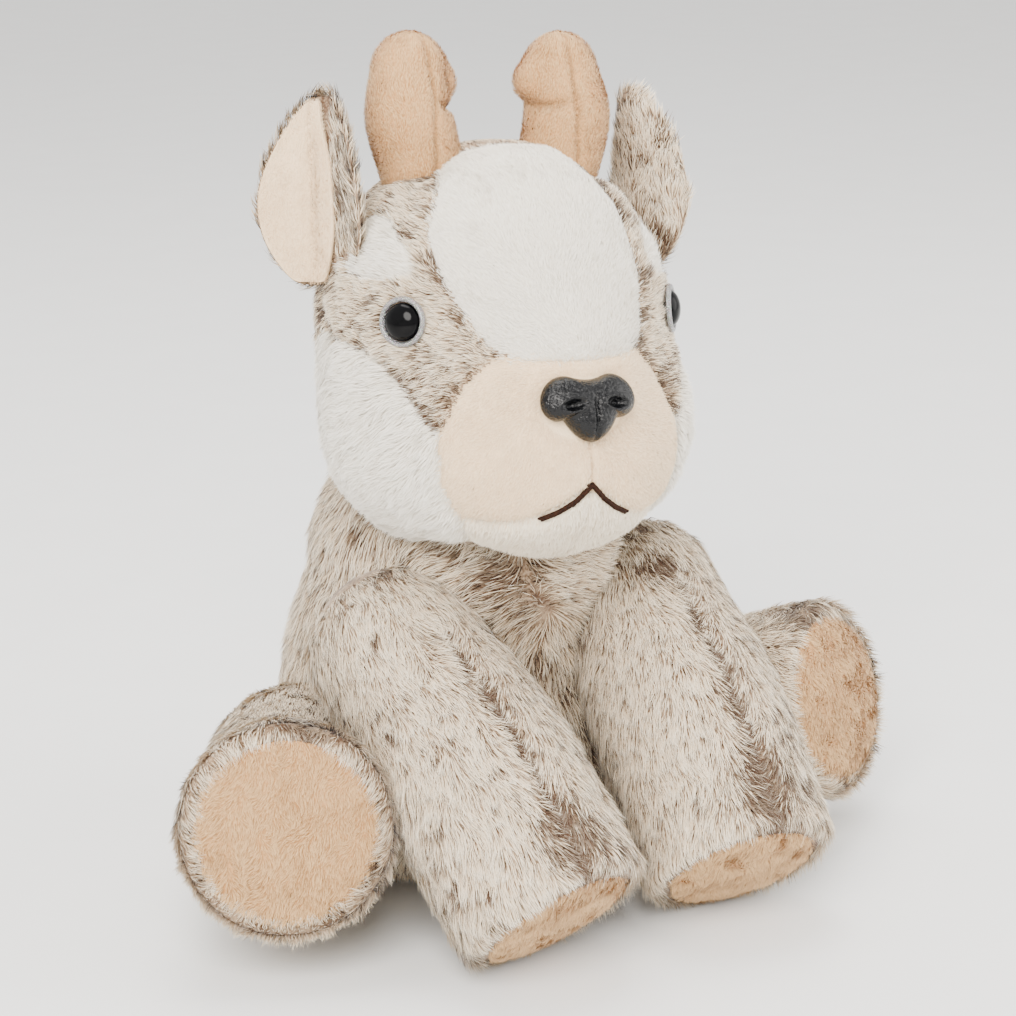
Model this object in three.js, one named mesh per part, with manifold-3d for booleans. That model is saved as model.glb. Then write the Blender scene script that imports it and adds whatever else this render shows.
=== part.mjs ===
// Plush goat kid, sitting with all four legs forward. Millimetres, +Z up.
// The goat looks along -Y and its left side is +X. The seat and the feet stand on Z = 0.
import * as THREE from "three";
import { mergeVertices } from "three/addons/utils/BufferGeometryUtils.js";
import Module from "manifold-3d";

const wasm = await Module();
wasm.setup();

// Driving dimensions
const skinThickness = 2.2;      // backed pile fabric, pile pressed down
const fillGap = 0.35;           // between the fabric and the filling
const seamGap = 0.2;            // half of the gap at a seam between two panels
const jointGap = 0.5;           // between two bodies at a sewn joint
const bodyForward = 17.55;       // moves the whole goat so that its box is centred on the origin

const neckCentre = new THREE.Vector3(0, -3, 82);
const neckRadius = 41.5;
const headCentre = new THREE.Vector3(0, -21, 141.5);
const headTilt = THREE.MathUtils.degToRad(4);     // the head leans a little to the goat's left
const headTurn = THREE.MathUtils.degToRad(-4);    // and looks a little to its right

const shoulder = new THREE.Vector3(37, -28, 69);
const shoulderRadius = 21;
const foreFoot = new THREE.Vector3(28, -86.5, 18.4);
const foreFootRadius = 24.2;
const hip = new THREE.Vector3(50.5, 3, 27.5);
const hipRadius = 23.5;
const hindFoot = new THREE.Vector3(81.5, -52.5, 39);
const hindFootRadius = 25.8;
const tailRoot = new THREE.Vector3(0, 48, 38);
const tailRadius = 8;
const socketGap = 2;             // room round the top of a limb in its hollow in the torso
const legOpening = 12;          // radius of the sewn opening at the top of a leg

const earRoot = new THREE.Vector3(43, -9, 157.5);
const earHeight = 47;
const earHalfWidth = 15;
const earTurn = { right: 57, left: 97 };    // degrees from straight ahead that each ear faces
const hornBaseRadius = 10.4;

const noseWidth = 24;
const noseHeight = 15.5;
const eyeRadius = 6.2;
const pupilRadius = 4.7;

// Colours, roughness and metalness of the pieces
const finishes = {
  mottledFur: { color: 0xd9cdb9, roughness: 0.95, metalness: 0 },
  whitePile: { color: 0xeeebe0, roughness: 0.95, metalness: 0 },
  creamVelvet: { color: 0xf3e4cb, roughness: 0.9, metalness: 0 },
  tanVelvet: { color: 0xd9b88f, roughness: 0.9, metalness: 0 },
  fibreFill: { color: 0xf4f4f2, roughness: 1, metalness: 0 },
  beanPouch: { color: 0xe8e4da, roughness: 0.9, metalness: 0 },
  blackPlastic: { color: 0x141418, roughness: 0.22, metalness: 0 },
  silverGlitter: { color: 0xaaaaaf, roughness: 0.35, metalness: 0.6 },
  washerPlastic: { color: 0xe9e9e9, roughness: 0.5, metalness: 0 },
  brownThread: { color: 0x50301f, roughness: 0.8, metalness: 0 },
};

const goat = new THREE.Group();
goat.position.set(0, bodyForward, 0);
const headGroup = new THREE.Group();
headGroup.position.copy(headCentre);
headGroup.rotation.set(0, headTilt, headTurn);
const headFrame = new THREE.Group();
headFrame.position.copy(headCentre).negate();
headGroup.add(headFrame);
goat.add(headGroup);

// Solids and meshes

function solidOf(geometry) {
  const plain = geometry.index ? geometry.toNonIndexed() : geometry.clone();
  plain.deleteAttribute("normal");
  plain.deleteAttribute("uv");
  const merged = mergeVertices(plain, 1e-4);
  const vertProperties = new Float32Array(merged.attributes.position.array);
  const triVerts = new Uint32Array(merged.index.array);
  const solid = new wasm.Manifold(new wasm.Mesh({ numProp: 3, vertProperties, triVerts }));
  if (solid.volume() > 0) {
    return solid;
  }
  triVerts.reverse();
  return new wasm.Manifold(new wasm.Mesh({ numProp: 3, vertProperties, triVerts }));
}

function geometryOf(solid) {
  const mesh = solid.getMesh();
  const geometry = new THREE.BufferGeometry();
  geometry.setAttribute("position", new THREE.BufferAttribute(mesh.vertProperties, 3));
  geometry.setIndex(new THREE.BufferAttribute(mesh.triVerts, 1));
  geometry.computeVertexNormals();
  return geometry;
}

function largestBody(solid) {
  const bodies = solid.decompose();
  bodies.sort((a, b) => b.volume() - a.volume());
  return bodies[0];
}

function addPiece(name, shape, finish, parent = goat) {
  const geometry = shape.isBufferGeometry ? shape : geometryOf(shape);
  const mesh = new THREE.Mesh(geometry, new THREE.MeshStandardMaterial(finishes[finish]));
  mesh.name = name;
  parent.add(mesh);
  return mesh;
}

function mirrored(point, side) {
  return new THREE.Vector3(point.x * side, point.y, point.z);
}

// A closed skin over rings of points, with a single point closing each end.
function closedRings(rings, startPole, endPole) {
  const sides = rings[0].length;
  const points = [startPole, ...rings.flat(), endPole];
  const index = [];
  const at = (ring, side) => 1 + ring * sides + (side % sides);
  for (let side = 0; side < sides; side += 1) {
    index.push(0, at(0, side + 1), at(0, side));
    for (let ring = 0; ring < rings.length - 1; ring += 1) {
      index.push(at(ring, side), at(ring, side + 1), at(ring + 1, side));
      index.push(at(ring, side + 1), at(ring + 1, side + 1), at(ring + 1, side));
    }
    index.push(at(rings.length - 1, side), at(rings.length - 1, side + 1), points.length - 1);
  }
  const geometry = new THREE.BufferGeometry().setFromPoints(points);
  geometry.setIndex(index);
  return solidOf(geometry);
}

function ringAt(centre, across, along, halfAcross, halfAlong, sides) {
  const ring = [];
  for (let side = 0; side < sides; side += 1) {
    const turn = (2 * Math.PI * side) / sides;
    ring.push(
      centre.clone()
        .addScaledVector(across, halfAcross * Math.cos(turn))
        .addScaledVector(along, halfAlong * Math.sin(turn)),
    );
  }
  return ring;
}

// A stuffed limb: round about its first point, swelling along a curve, with a blunt or round end.
function limb({ path, radii, inset = 0, sides = 10, steps = 4, endDepth = 1, flat = 1 }) {
  const curve = new THREE.CatmullRomCurve3(path);
  const swell = new THREE.SplineCurve(radii.map((radius, i) => new THREE.Vector2(i, radius)));
  const capSteps = 3;
  const rings = [];
  const sideways = Math.abs(curve.getTangent(0).x) > 0.8;
  const frameAt = (t) => {
    const forward = curve.getTangent(t);
    const across = new THREE.Vector3(sideways ? 0 : 1, sideways ? 1 : 0, 0);
    across.addScaledVector(forward, -across.dot(forward)).normalize();
    const along = new THREE.Vector3().crossVectors(forward, across);
    return { forward, across, along, centre: curve.getPoint(t), radius: swell.getPoint(t).y - inset };
  };
  const start = frameAt(0);
  for (let cap = 1; cap < capSteps; cap += 1) {
    const turn = (Math.PI / 2) * (cap / capSteps);
    const centre = start.centre.clone().addScaledVector(start.forward, -start.radius * Math.cos(turn));
    const radius = start.radius * Math.sin(turn);
    rings.push(ringAt(centre, start.across, start.along, radius, radius, sides));
  }
  for (let step = 0; step <= steps; step += 1) {
    const here = frameAt(step / steps);
    const squeeze = 1 + (flat - 1) * (step / steps);
    rings.push(ringAt(here.centre, here.across, here.along, here.radius, here.radius * squeeze, sides));
  }
  const end = frameAt(1);
  const depth = end.radius * endDepth;
  for (let cap = 1; cap < capSteps; cap += 1) {
    const turn = (Math.PI / 2) * (cap / capSteps);
    const centre = end.centre.clone().addScaledVector(end.forward, depth * Math.sin(turn));
    const radius = end.radius * Math.cos(turn);
    rings.push(ringAt(centre, end.across, end.along, radius, radius * flat, sides));
  }
  const startPole = start.centre.clone().addScaledVector(start.forward, -start.radius);
  const endPole = end.centre.clone().addScaledVector(end.forward, depth);
  return closedRings(rings, startPole, endPole);
}

function ball(centre, radius, sides = 16) {
  const geometry = new THREE.SphereGeometry(radius, sides, Math.round(sides * 0.6));
  return solidOf(geometry.translate(centre.x, centre.y, centre.z));
}

function lathed(profile, sides) {
  return new THREE.LatheGeometry(profile.map(([x, y]) => new THREE.Vector2(x, y)), sides);
}

// A plug along a direction, for the hole that a stem or an opening needs.
function plug(from, direction, radius, length, sides = 14) {
  const geometry = new THREE.CylinderGeometry(radius, radius, length, sides);
  geometry.translate(0, length / 2, 0);
  geometry.applyQuaternion(turnUpTo(direction));
  return solidOf(geometry.translate(from.x, from.y, from.z));
}

function turnUpTo(direction) {
  return new THREE.Quaternion().setFromUnitVectors(new THREE.Vector3(0, 1, 0), direction);
}

// Torso: a pear with a flat seat below and a round neck above

const torsoSections = [
  { z: 0, y: 7, halfX: 40, halfY: 36 },
  { z: 5, y: 7, halfX: 45.5, halfY: 41.5 },
  { z: 16, y: 6.5, halfX: 48, halfY: 44 },
  { z: 34, y: 7, halfX: 47.5, halfY: 43.5 },
  { z: 52, y: 7, halfX: 46, halfY: 42 },
  { z: 68, y: 3, halfX: 44, halfY: 41 },
  { z: 82, y: -3, halfX: 41.5, halfY: 41.5 },
];

function torsoBody(inset) {
  const sides = 18;
  const across = new THREE.Vector3(1, 0, 0);
  const along = new THREE.Vector3(0, 1, 0);
  const rings = torsoSections.map(({ z, y, halfX, halfY }, row) => {
    const centre = new THREE.Vector3(0, y, row === 0 ? inset : Math.max(z, inset + 1));
    return ringAt(centre, across, along, halfX - inset, halfY - inset, sides);
  });
  const domeSteps = 4;
  for (let step = 1; step < domeSteps; step += 1) {
    const turn = (Math.PI / 2) * (step / domeSteps);
    const radius = (neckRadius - inset) * Math.cos(turn);
    const lift = (neckRadius - inset) * Math.sin(turn);
    const centre = neckCentre.clone().add(new THREE.Vector3(0, 0, lift));
    rings.push(ringAt(centre, across, along, radius, radius, sides));
  }
  const bottom = new THREE.Vector3(0, torsoSections[0].y, inset);
  const top = neckCentre.clone().add(new THREE.Vector3(0, 0, neckRadius - inset));
  return closedRings(rings, bottom, top);
}

const pouchTop = 15;

function makeTorso() {
  const sockets = [ball(tailRoot, tailRadius + socketGap, 12), tailShape(-socketGap)];
  for (const side of [-1, 1]) {
    for (const kind of ["front_leg", "hind_leg"]) {
      const { path, radii } = legs[kind];
      sockets.push(ball(mirrored(path[0], side), radii[0] + socketGap));
      sockets.push(legShape(kind, side, -jointGap));
    }
    for (const lift of [12, 25]) {
      sockets.push(liftedLeg(side, lift));
    }
  }
  const cutSockets = (solid) => sockets.reduce((rest, socket) => rest.subtract(socket), solid);
  const neckOpening = plug(neckCentre, new THREE.Vector3(0, 0, 1), 16, neckRadius + 5, 12);
  const shell = torsoBody(0).subtract(torsoBody(skinThickness));
  addPiece("torso_skin", largestBody(cutSockets(shell).subtract(neckOpening)), "mottledFur");
  const core = cutSockets(torsoBody(skinThickness + fillGap));
  const slabSize = 300;
  const slab = new THREE.BoxGeometry(slabSize, slabSize, slabSize);
  const below = solidOf(slab.clone().translate(0, 0, pouchTop - slabSize / 2));
  addPiece("torso_stuffing", largestBody(core.subtract(below)), "fibreFill");
  const above = solidOf(slab.clone().translate(0, 0, pouchTop - fillGap + slabSize / 2));
  addPiece("bean_pouch", largestBody(core.subtract(above)), "beanPouch");
}

// Legs: a fur tube, a tan sole that closes the foot, and the filling

const forePath = [shoulder, new THREE.Vector3(32.5, -57.5, 46.5), foreFoot];
const hindPath = [hip, new THREE.Vector3(67.5, -23, 31), hindFoot];
const legs = {
  front_leg: {
    path: forePath,
    radii: [shoulderRadius, 24.2, foreFootRadius],
    soleRadius: 19,
    opening: new THREE.Vector3(-0.87, 0.48, 0.1).normalize(),
    flat: 0.98,
  },
  hind_leg: {
    path: hindPath,
    radii: [hipRadius, 22.3, hindFootRadius],
    soleRadius: 22.5,
    opening: new THREE.Vector3(-1, 0.05, 0.05).normalize(),
    flat: 1,
  },
};
const footDomeShare = 0.24;     // how far the sole domes out, as a share of the foot's radius

function legShape(kind, side, inset) {
  const { path, radii, flat } = legs[kind];
  const sidePath = path.map((point) => mirrored(point, side));
  return limb({ path: sidePath, radii, inset, endDepth: footDomeShare, flat });
}

function liftedLeg(side, degrees) {
  const { x, y, z } = mirrored(shoulder, side);
  const leg = legShape("front_leg", side, -jointGap);
  return leg.translate([-x, -y, -z]).rotate([-degrees, 0, 0]).translate([x, y, z]);
}

function makeLeg(kind, side, sideName) {
  const { path, soleRadius, opening } = legs[kind];
  const sidePath = path.map((point) => mirrored(point, side));
  const shape = (inset) => legShape(kind, side, inset);
  const outer = shape(0);
  const shell = outer.subtract(shape(skinThickness));
  const axis = new THREE.CatmullRomCurve3(sidePath).getTangent(1);
  const foot = sidePath[sidePath.length - 1];
  const soleCut = plug(foot, axis, soleRadius + seamGap, 40, 16);
  const solePlug = plug(foot, axis, soleRadius - seamGap, 40, 16);
  const topOpening = plug(sidePath[0], mirrored(opening, side), legOpening, 60, 12);
  addPiece(`${kind}_skin_${sideName}`, largestBody(shell.subtract(soleCut).subtract(topOpening)), "mottledFur");
  addPiece(`${kind}_sole_${sideName}`, largestBody(shell.intersect(solePlug)), "tanVelvet");
  addPiece(`${kind}_stuffing_${sideName}`, shape(skinThickness + fillGap), "fibreFill");
}

// Tail: one short stuffed tube of fur with a round tip

const tailPath = [tailRoot, new THREE.Vector3(0, 59, 43), new THREE.Vector3(0, 63, 55)];

function tailShape(inset) {
  return limb({ path: tailPath, radii: [tailRadius, 7.4, 5], inset, sides: 10, steps: 3 });
}

function makeTail() {
  const opening = plug(tailRoot, new THREE.Vector3(0, -1, 0), 4.5, 20, 10);
  const shell = tailShape(0).subtract(tailShape(skinThickness)).subtract(opening);
  addPiece("tail_skin", largestBody(shell), "mottledFur");
  addPiece("tail_stuffing", tailShape(skinThickness + fillGap), "fibreFill");
}

// Head: several rounded lumps run into one, sewn from panels

const headLumps = [
  { centre: [0, -17, 145.5], radii: [45, 44, 48.5] },
  { centre: [21.5, -28, 123.5], radii: [26, 31, 27.5] },
  { centre: [-21.5, -28, 123.5], radii: [26, 31, 27.5] },
  { centre: [0, -50, 117.5], radii: [31, 22.5, 22.5] },
  { centre: [0, -45, 140], radii: [22, 22.5, 19] },
];
const lumpBlend = 9;

function ellipsoidDistance(point, { centre, radii }) {
  const local = [point.x - centre[0], point.y - centre[1], point.z - centre[2]];
  const scaled = Math.hypot(...local.map((value, i) => value / radii[i]));
  const slope = Math.hypot(...local.map((value, i) => value / radii[i] ** 2));
  return slope < 1e-9 ? -Math.min(...radii) : (scaled * (scaled - 1)) / slope;
}

function headDistance(point) {
  return headLumps.map((lump) => ellipsoidDistance(point, lump)).reduce((a, b) => {
    const mix = Math.max(lumpBlend - Math.abs(a - b), 0) / lumpBlend;
    return Math.min(a, b) - (mix * mix * lumpBlend) / 4;
  });
}

// Directions from the head's centre: azimuth from straight ahead towards the goat's left, and elevation.
function towards(azimuth, elevation) {
  const turn = THREE.MathUtils.degToRad(azimuth);
  const lift = THREE.MathUtils.degToRad(elevation);
  return new THREE.Vector3(
    Math.sin(turn) * Math.cos(lift),
    -Math.cos(turn) * Math.cos(lift),
    Math.sin(lift),
  );
}

function headPoint(direction, offset) {
  let near = 10;
  let far = 90;
  while (far - near > 1e-3) {
    const middle = (near + far) / 2;
    const point = headCentre.clone().addScaledVector(direction, middle);
    if (headDistance(point) < offset) {
      near = middle;
    } else {
      far = middle;
    }
  }
  return headCentre.clone().addScaledVector(direction, near);
}

const outerGrid = { sides: 28, rows: 16 };
const innerGrid = { sides: 20, rows: 11 };

function headBody(offset, { sides, rows }) {
  const rings = [];
  for (let row = 1; row < rows; row += 1) {
    const elevation = -90 + (180 * row) / rows;
    const ring = [];
    for (let side = 0; side < sides; side += 1) {
      ring.push(headPoint(towards((360 * side) / sides, elevation), offset));
    }
    rings.push(ring);
  }
  return closedRings(rings, headPoint(towards(0, -90), offset), headPoint(towards(0, 90), offset));
}

// Panel outlines as directions from the head's centre, [azimuth, elevation], on the goat's left side.
const muzzleEdge = [[29, 7], [40, -3], [44, -17], [43, -28], [38, -37]];
const mouthCorner = [22, -35.5];
const mouthMiddle = [12, -32.5];
const mouthTop = [0, -25];
const chinEdge = [[38, -37], [35, -48], [20, -58], [0, -60]];
const blazeEdge = [[29, 7], [40, 26], [52, 45], [61, 64], [100, 77]];
const browEdge = [[49, 31], [66, 27], [86, 25], [95, 34], [87, 47], [66, 45]];
const eyePanelEdge = [
  [29, 7], [40, 26], [52, 45], [61, 64], [96, 60], [108, 38], [106, 16],
  [97, 6], [71, 5], [54, -5], [44, -17], [40, -3],
];
const cheekEdge = [
  [44, -17], [54, -5], [71, 5], [97, 6], [116, 2], [126, -28], [120, -56],
  [70, -66], [35, -48], [38, -37], [43, -28],
];

const browDrift = 9;            // the blaze drifts this many degrees to the goat's right toward the top

const otherSide = (outline) => outline.map(([azimuth, elevation]) => [-azimuth, elevation]);
const offCentre = (outline) => outline.filter(([azimuth]) => azimuth !== 0);
const bothSides = (outline) => [...outline, ...otherSide(offCentre(outline)).reverse()];

// Moves an outline of directions outwards by so many degrees.
function grown(outline, degrees) {
  const place = outline.map(([azimuth, elevation]) => new THREE.Vector2(azimuth, elevation));
  const turning = Math.sign(THREE.ShapeUtils.area(place));
  return place.map((point, i) => {
    const before = place[(i + place.length - 1) % place.length];
    const after = place[(i + 1) % place.length];
    const edges = [point.clone().sub(before), after.clone().sub(point)];
    const normals = edges.map((edge) => new THREE.Vector2(edge.y, -edge.x).normalize());
    const middle = normals[0].clone().add(normals[1]).normalize();
    const reach = (degrees * turning) / Math.max(0.4, middle.dot(normals[0]));
    const stretch = 1 / Math.max(0.3, Math.cos(THREE.MathUtils.degToRad(point.y)));
    return [point.x + middle.x * reach * stretch, point.y + middle.y * reach];
  });
}

// The blaze and the seams beside it lean to one side toward the top.
function drifted([azimuth, elevation]) {
  return [azimuth - browDrift * THREE.MathUtils.clamp((elevation - 10) / 30, 0, 1), elevation];
}

// A pyramid from the head's centre out through an outline of directions.
function pyramid(evenOutline) {
  const reach = 110;
  const outline = evenOutline.map(drifted);
  const rim = outline.map(([azimuth, elevation]) => towards(azimuth, elevation).multiplyScalar(reach).add(headCentre));
  const faces = THREE.ShapeUtils.triangulateShape(outline.map(([a, e]) => new THREE.Vector2(a, e)), []);
  const index = faces.flatMap(([a, b, c]) => [a + 1, b + 1, c + 1]);
  const turning = THREE.ShapeUtils.area(outline.map(([a, e]) => new THREE.Vector2(a, e)));
  rim.forEach((_, i) => {
    const next = ((i + 1) % rim.length) + 1;
    index.push(...(turning > 0 ? [0, next, i + 1] : [0, i + 1, next]));
  });
  const geometry = new THREE.BufferGeometry().setFromPoints([headCentre, ...rim]);
  geometry.setIndex(index);
  return solidOf(geometry);
}

const seamDegrees = THREE.MathUtils.radToDeg(seamGap / 46);

function makeHeadPanels(shell, holes) {
  const noseArea = bothSides([mouthTop, mouthMiddle, mouthCorner, ...muzzleEdge.slice().reverse()].reverse());
  const panels = [
    ["muzzle_panel", noseArea, "creamVelvet"],
    ["chin_panel", bothSides([...chinEdge.slice().reverse(), mouthCorner, mouthMiddle, mouthTop]), "whitePile"],
    ["forehead_panel", bothSides(blazeEdge), "whitePile"],
  ];
  for (const [side, sideName] of [[-1, "right"], [1, "left"]]) {
    const place = (outline) => (side > 0 ? outline : otherSide(outline));
    panels.push([`brow_panel_${sideName}`, place(browEdge), "whitePile"]);
    panels.push([`eye_panel_${sideName}`, place(eyePanelEdge), "mottledFur"]);
    panels.push([`cheek_panel_${sideName}`, place(cheekEdge), "whitePile"]);
  }
  let rest = shell;
  for (const [name, outline, finish] of panels) {
    const panel = rest.intersect(pyramid(grown(outline, -seamDegrees)));
    rest = rest.subtract(pyramid(grown(outline, seamDegrees)));
    addPiece(name, largestBody(holes.reduce((solid, hole) => solid.subtract(hole), panel)), finish, headFrame);
  }
  addPiece("head_back_panel", largestBody(rest), "mottledFur", headFrame);
}

// Eyes and nose: plastic pieces on stems, locked inside the head by washers

const stemRadius = 1.7;
const stemLength = 10;
const eyeDirection = { azimuth: 61, elevation: 16 };
const noseDirection = { azimuth: 0, elevation: -7 };
const washerProfile = [[2.1, 0], [7, 0], [7, 1.2], [2.1, 1.2], [2.1, 0]];
const washerDepth = skinThickness + 3.4;
const pocketRadius = 7.4;
const eyeProfile = [
  [0, 3.1], [1.6, 2.9], [3.1, 2.2], [4.2, 1.2], [pupilRadius, 0.3], [pupilRadius, 0],
  [stemRadius, 0], [stemRadius, -stemLength], [0, -stemLength],
];
const ringProfile = [
  [pupilRadius + 0.3, 0], [eyeRadius, 0], [eyeRadius, 0.5], [pupilRadius + 0.7, 1.2],
  [pupilRadius + 0.3, 1.1], [pupilRadius + 0.3, 0],
];

function placed(geometry, point, outward) {
  const copy = geometry.clone().applyQuaternion(turnUpTo(outward));
  return solidOf(copy.translate(point.x, point.y, point.z));
}

function makeEye(side, sideName, clearOfHead) {
  const seat = headPoint(towards(side * eyeDirection.azimuth, eyeDirection.elevation), 0.7);
  const outward = new THREE.Vector3(side * 0.8, -0.59, 0.13).normalize();
  const hole = plug(seat.clone().addScaledVector(outward, -stemLength - 2), outward, stemRadius + 0.3, 30, 10);
  const inward = outward.clone().negate();
  const washerSeat = seat.clone().addScaledVector(inward, washerDepth + 1.2);
  const pocketSeat = seat.clone().addScaledVector(inward, washerDepth + 1.6);
  addPiece(`eye_${sideName}`, placed(lathed(eyeProfile, 12), seat, outward), "blackPlastic", headFrame);
  const ring = placed(lathed(ringProfile, 16), seat, outward).subtract(clearOfHead);
  addPiece(`eye_ring_${sideName}`, ring, "silverGlitter", headFrame);
  addPiece(`eye_washer_${sideName}`, placed(lathed(washerProfile, 10), washerSeat, outward), "washerPlastic", headFrame);
  return { hole, pocket: plug(pocketSeat, outward, pocketRadius, 20, 12) };
}

function noseOutline() {
  const halfWidth = noseWidth / 2;
  const halfHeight = noseHeight / 2;
  const shape = new THREE.Shape();
  shape.moveTo(0, -halfHeight);
  shape.bezierCurveTo(3, -halfHeight, 5.5, -4.5, 6.5, -2.2);
  shape.bezierCurveTo(8.5, -3.4, halfWidth, -1.5, halfWidth, 1.6);
  shape.bezierCurveTo(halfWidth, 5, 9, halfHeight, 5.5, halfHeight);
  shape.quadraticCurveTo(0, halfHeight - 1.2, -5.5, halfHeight);
  shape.bezierCurveTo(-9, halfHeight, -halfWidth, 5, -halfWidth, 1.6);
  shape.bezierCurveTo(-halfWidth, -1.5, -8.5, -3.4, -6.5, -2.2);
  shape.bezierCurveTo(-5.5, -4.5, -3, -halfHeight, 0, -halfHeight);
  return shape;
}

function makeNose(clearOfHead) {
  const seat = headPoint(towards(noseDirection.azimuth, noseDirection.elevation), 0);
  const outward = new THREE.Vector3(0, -0.93, 0.37).normalize();
  const bevel = 1.6;
  const body = new THREE.ExtrudeGeometry(noseOutline(), {
    depth: 4.2, bevelEnabled: true, bevelThickness: bevel, bevelSize: bevel, bevelOffset: -bevel,
    bevelSegments: 1, curveSegments: 4,
  });
  const right = new THREE.Vector3(1, 0, 0);
  const up = new THREE.Vector3().crossVectors(outward, right);
  body.translate(0, 0, -2.2);
  body.applyMatrix4(new THREE.Matrix4().makeBasis(right, up, outward).setPosition(seat));
  const stem = plug(seat.clone().addScaledVector(outward, -stemLength - 1), outward, stemRadius, stemLength + 2, 10);
  const hole = plug(seat.clone().addScaledVector(outward, -stemLength - 3), outward, stemRadius + 0.3, 30, 10);
  const washerSeat = seat.clone().addScaledVector(outward, -washerDepth - 1.2);
  const pocketSeat = seat.clone().addScaledVector(outward, -washerDepth - 1.6);
  addPiece("nose", largestBody(solidOf(body).subtract(clearOfHead)).add(stem), "blackPlastic", headFrame);
  addPiece("nose_washer", placed(lathed(washerProfile, 10), washerSeat, outward), "washerPlastic", headFrame);
  return { hole, pocket: plug(pocketSeat, outward, pocketRadius, 14, 12) };
}

function makeMouth() {
  const threadRadius = 0.6;
  const lift = threadRadius + 0.35;
  const halfMouth = [[4.5, -28.7], [9, -31.3], [13, -33]];
  const stops = [...otherSide(halfMouth).reverse(), [0, -25], ...halfMouth];
  const route = stops.map(([azimuth, elevation]) => headPoint(towards(azimuth, elevation), lift + 0.15));
  const section = new THREE.Shape().absarc(0, 0, threadRadius, 0, 2 * Math.PI);
  const thread = new THREE.ExtrudeGeometry(section, {
    extrudePath: new THREE.CatmullRomCurve3(route), steps: 20, curveSegments: 2, bevelEnabled: false,
  });
  addPiece("mouth_thread", solidOf(thread), "brownThread", headFrame);
}

function makeHead() {
  const neckLocal = neckCentre.clone().sub(headCentre)
    .applyQuaternion(headGroup.quaternion.clone().invert()).add(headCentre);
  const socket = ball(neckLocal, neckRadius + jointGap, 26);
  const outer = headBody(0, outerGrid);
  const inner = headBody(-skinThickness, innerGrid);
  const clearOfHead = headBody(0.3, outerGrid);
  const fittings = [makeNose(clearOfHead), makeEye(-1, "right", clearOfHead), makeEye(1, "left", clearOfHead)];
  makeHeadPanels(outer.subtract(inner).subtract(socket), fittings.map(({ hole }) => hole));
  const core = headBody(-skinThickness - fillGap, innerGrid).subtract(socket);
  const pocketed = fittings.reduce((solid, { hole, pocket }) => solid.subtract(hole).subtract(pocket), core);
  addPiece("head_stuffing", largestBody(pocketed), "fibreFill", headFrame);
  makeMouth();
}

// Horns: tan tubes with a round tip that hooks inwards

const hornStem = [
  new THREE.Vector3(19.5, -12, 187),
  new THREE.Vector3(22.5, -10, 200),
  new THREE.Vector3(21.5, -7, 211),
];
const hornHook = [new THREE.Vector3(19.5, -7, 211), new THREE.Vector3(14.5, -7, 208)];
const hornRadii = { stem: [hornBaseRadius, 10.8, 9.4], hook: [7.6, 5.6] };
const hornSkinThickness = 1.4;

function makeHorn(side, sideName) {
  const onSide = (path) => path.map((point) => mirrored(point, side));
  const shape = (inset) => {
    const stem = limb({ path: onSide(hornStem), radii: hornRadii.stem, inset, sides: 10, steps: 2 });
    return stem.add(limb({ path: onSide(hornHook), radii: hornRadii.hook, inset, sides: 10, steps: 1 }));
  };
  const headSkin = headBody(0.4, outerGrid);
  const shell = shape(0).subtract(shape(hornSkinThickness)).subtract(headSkin);
  const core = shape(hornSkinThickness + fillGap).subtract(headSkin);
  addPiece(`horn_skin_${sideName}`, largestBody(shell), "tanVelvet", headFrame);
  addPiece(`horn_stuffing_${sideName}`, largestBody(core), "fibreFill", headFrame);
}

// Ears: a cupped leaf, fur behind and cream lining in front

const earLean = new THREE.Vector3(0.03, 0.06, 1);

function earSheet(side, sideName, front, back, trim) {
  const facing = towards(side * earTurn[sideName], 0);
  const up = mirrored(earLean, side).normalize();
  const across = new THREE.Vector3().crossVectors(up, facing).normalize();
  const root = mirrored(earRoot, side);
  const stations = 6;
  const spans = 6;
  const cup = THREE.MathUtils.degToRad(62);
  const rings = [];
  for (let station = 0; station <= stations; station += 1) {
    const t = trim / earHeight + (1 - (2 * trim) / earHeight) * (station / stations);
    const halfWidth = (earHalfWidth * Math.sin(Math.PI * (0.12 + 0.84 * t ** 0.85)) ** 0.75) - trim;
    const centre = root.clone().addScaledVector(up, earHeight * t).addScaledVector(facing, 3 * Math.sin(Math.PI * t));
    const edge = (span, depth) => {
      const q = -1 + (2 * span) / spans;
      const thin = 1 - 0.55 * q * q;
      return centre.clone()
        .addScaledVector(across, (halfWidth * Math.sin(q * cup)) / Math.sin(cup))
        .addScaledVector(facing, halfWidth * 0.75 * (1 - Math.cos(q * cup)) + depth * thin);
    };
    const ring = [];
    for (let span = 0; span <= spans; span += 1) {
      ring.push(edge(span, front));
    }
    for (let span = spans; span >= 0; span -= 1) {
      ring.push(edge(span, back));
    }
    rings.push(ring);
  }
  const middle = (ring) => ring.reduce((sum, point) => sum.add(point), new THREE.Vector3()).divideScalar(ring.length);
  return closedRings(rings, middle(rings[0]), middle(rings[rings.length - 1]));
}

function makeEar(side, sideName) {
  const clearance = headBody(1, outerGrid);
  const back = earSheet(side, sideName, 0, -3, 0).subtract(clearance);
  const lining = earSheet(side, sideName, 2.1, 0.75, 0.9).subtract(clearance);
  addPiece(`ear_back_${sideName}`, largestBody(back), "mottledFur", headFrame);
  addPiece(`ear_lining_${sideName}`, largestBody(lining), "creamVelvet", headFrame);
}

makeTorso();
makeTail();
for (const [side, sideName] of [[-1, "right"], [1, "left"]]) {
  makeLeg("front_leg", side, sideName);
  makeLeg("hind_leg", side, sideName);
  makeHorn(side, sideName);
  makeEar(side, sideName);
}
makeHead();

export default goat;
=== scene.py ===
import math

import bpy
import numpy as np
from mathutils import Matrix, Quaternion, Vector


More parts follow.
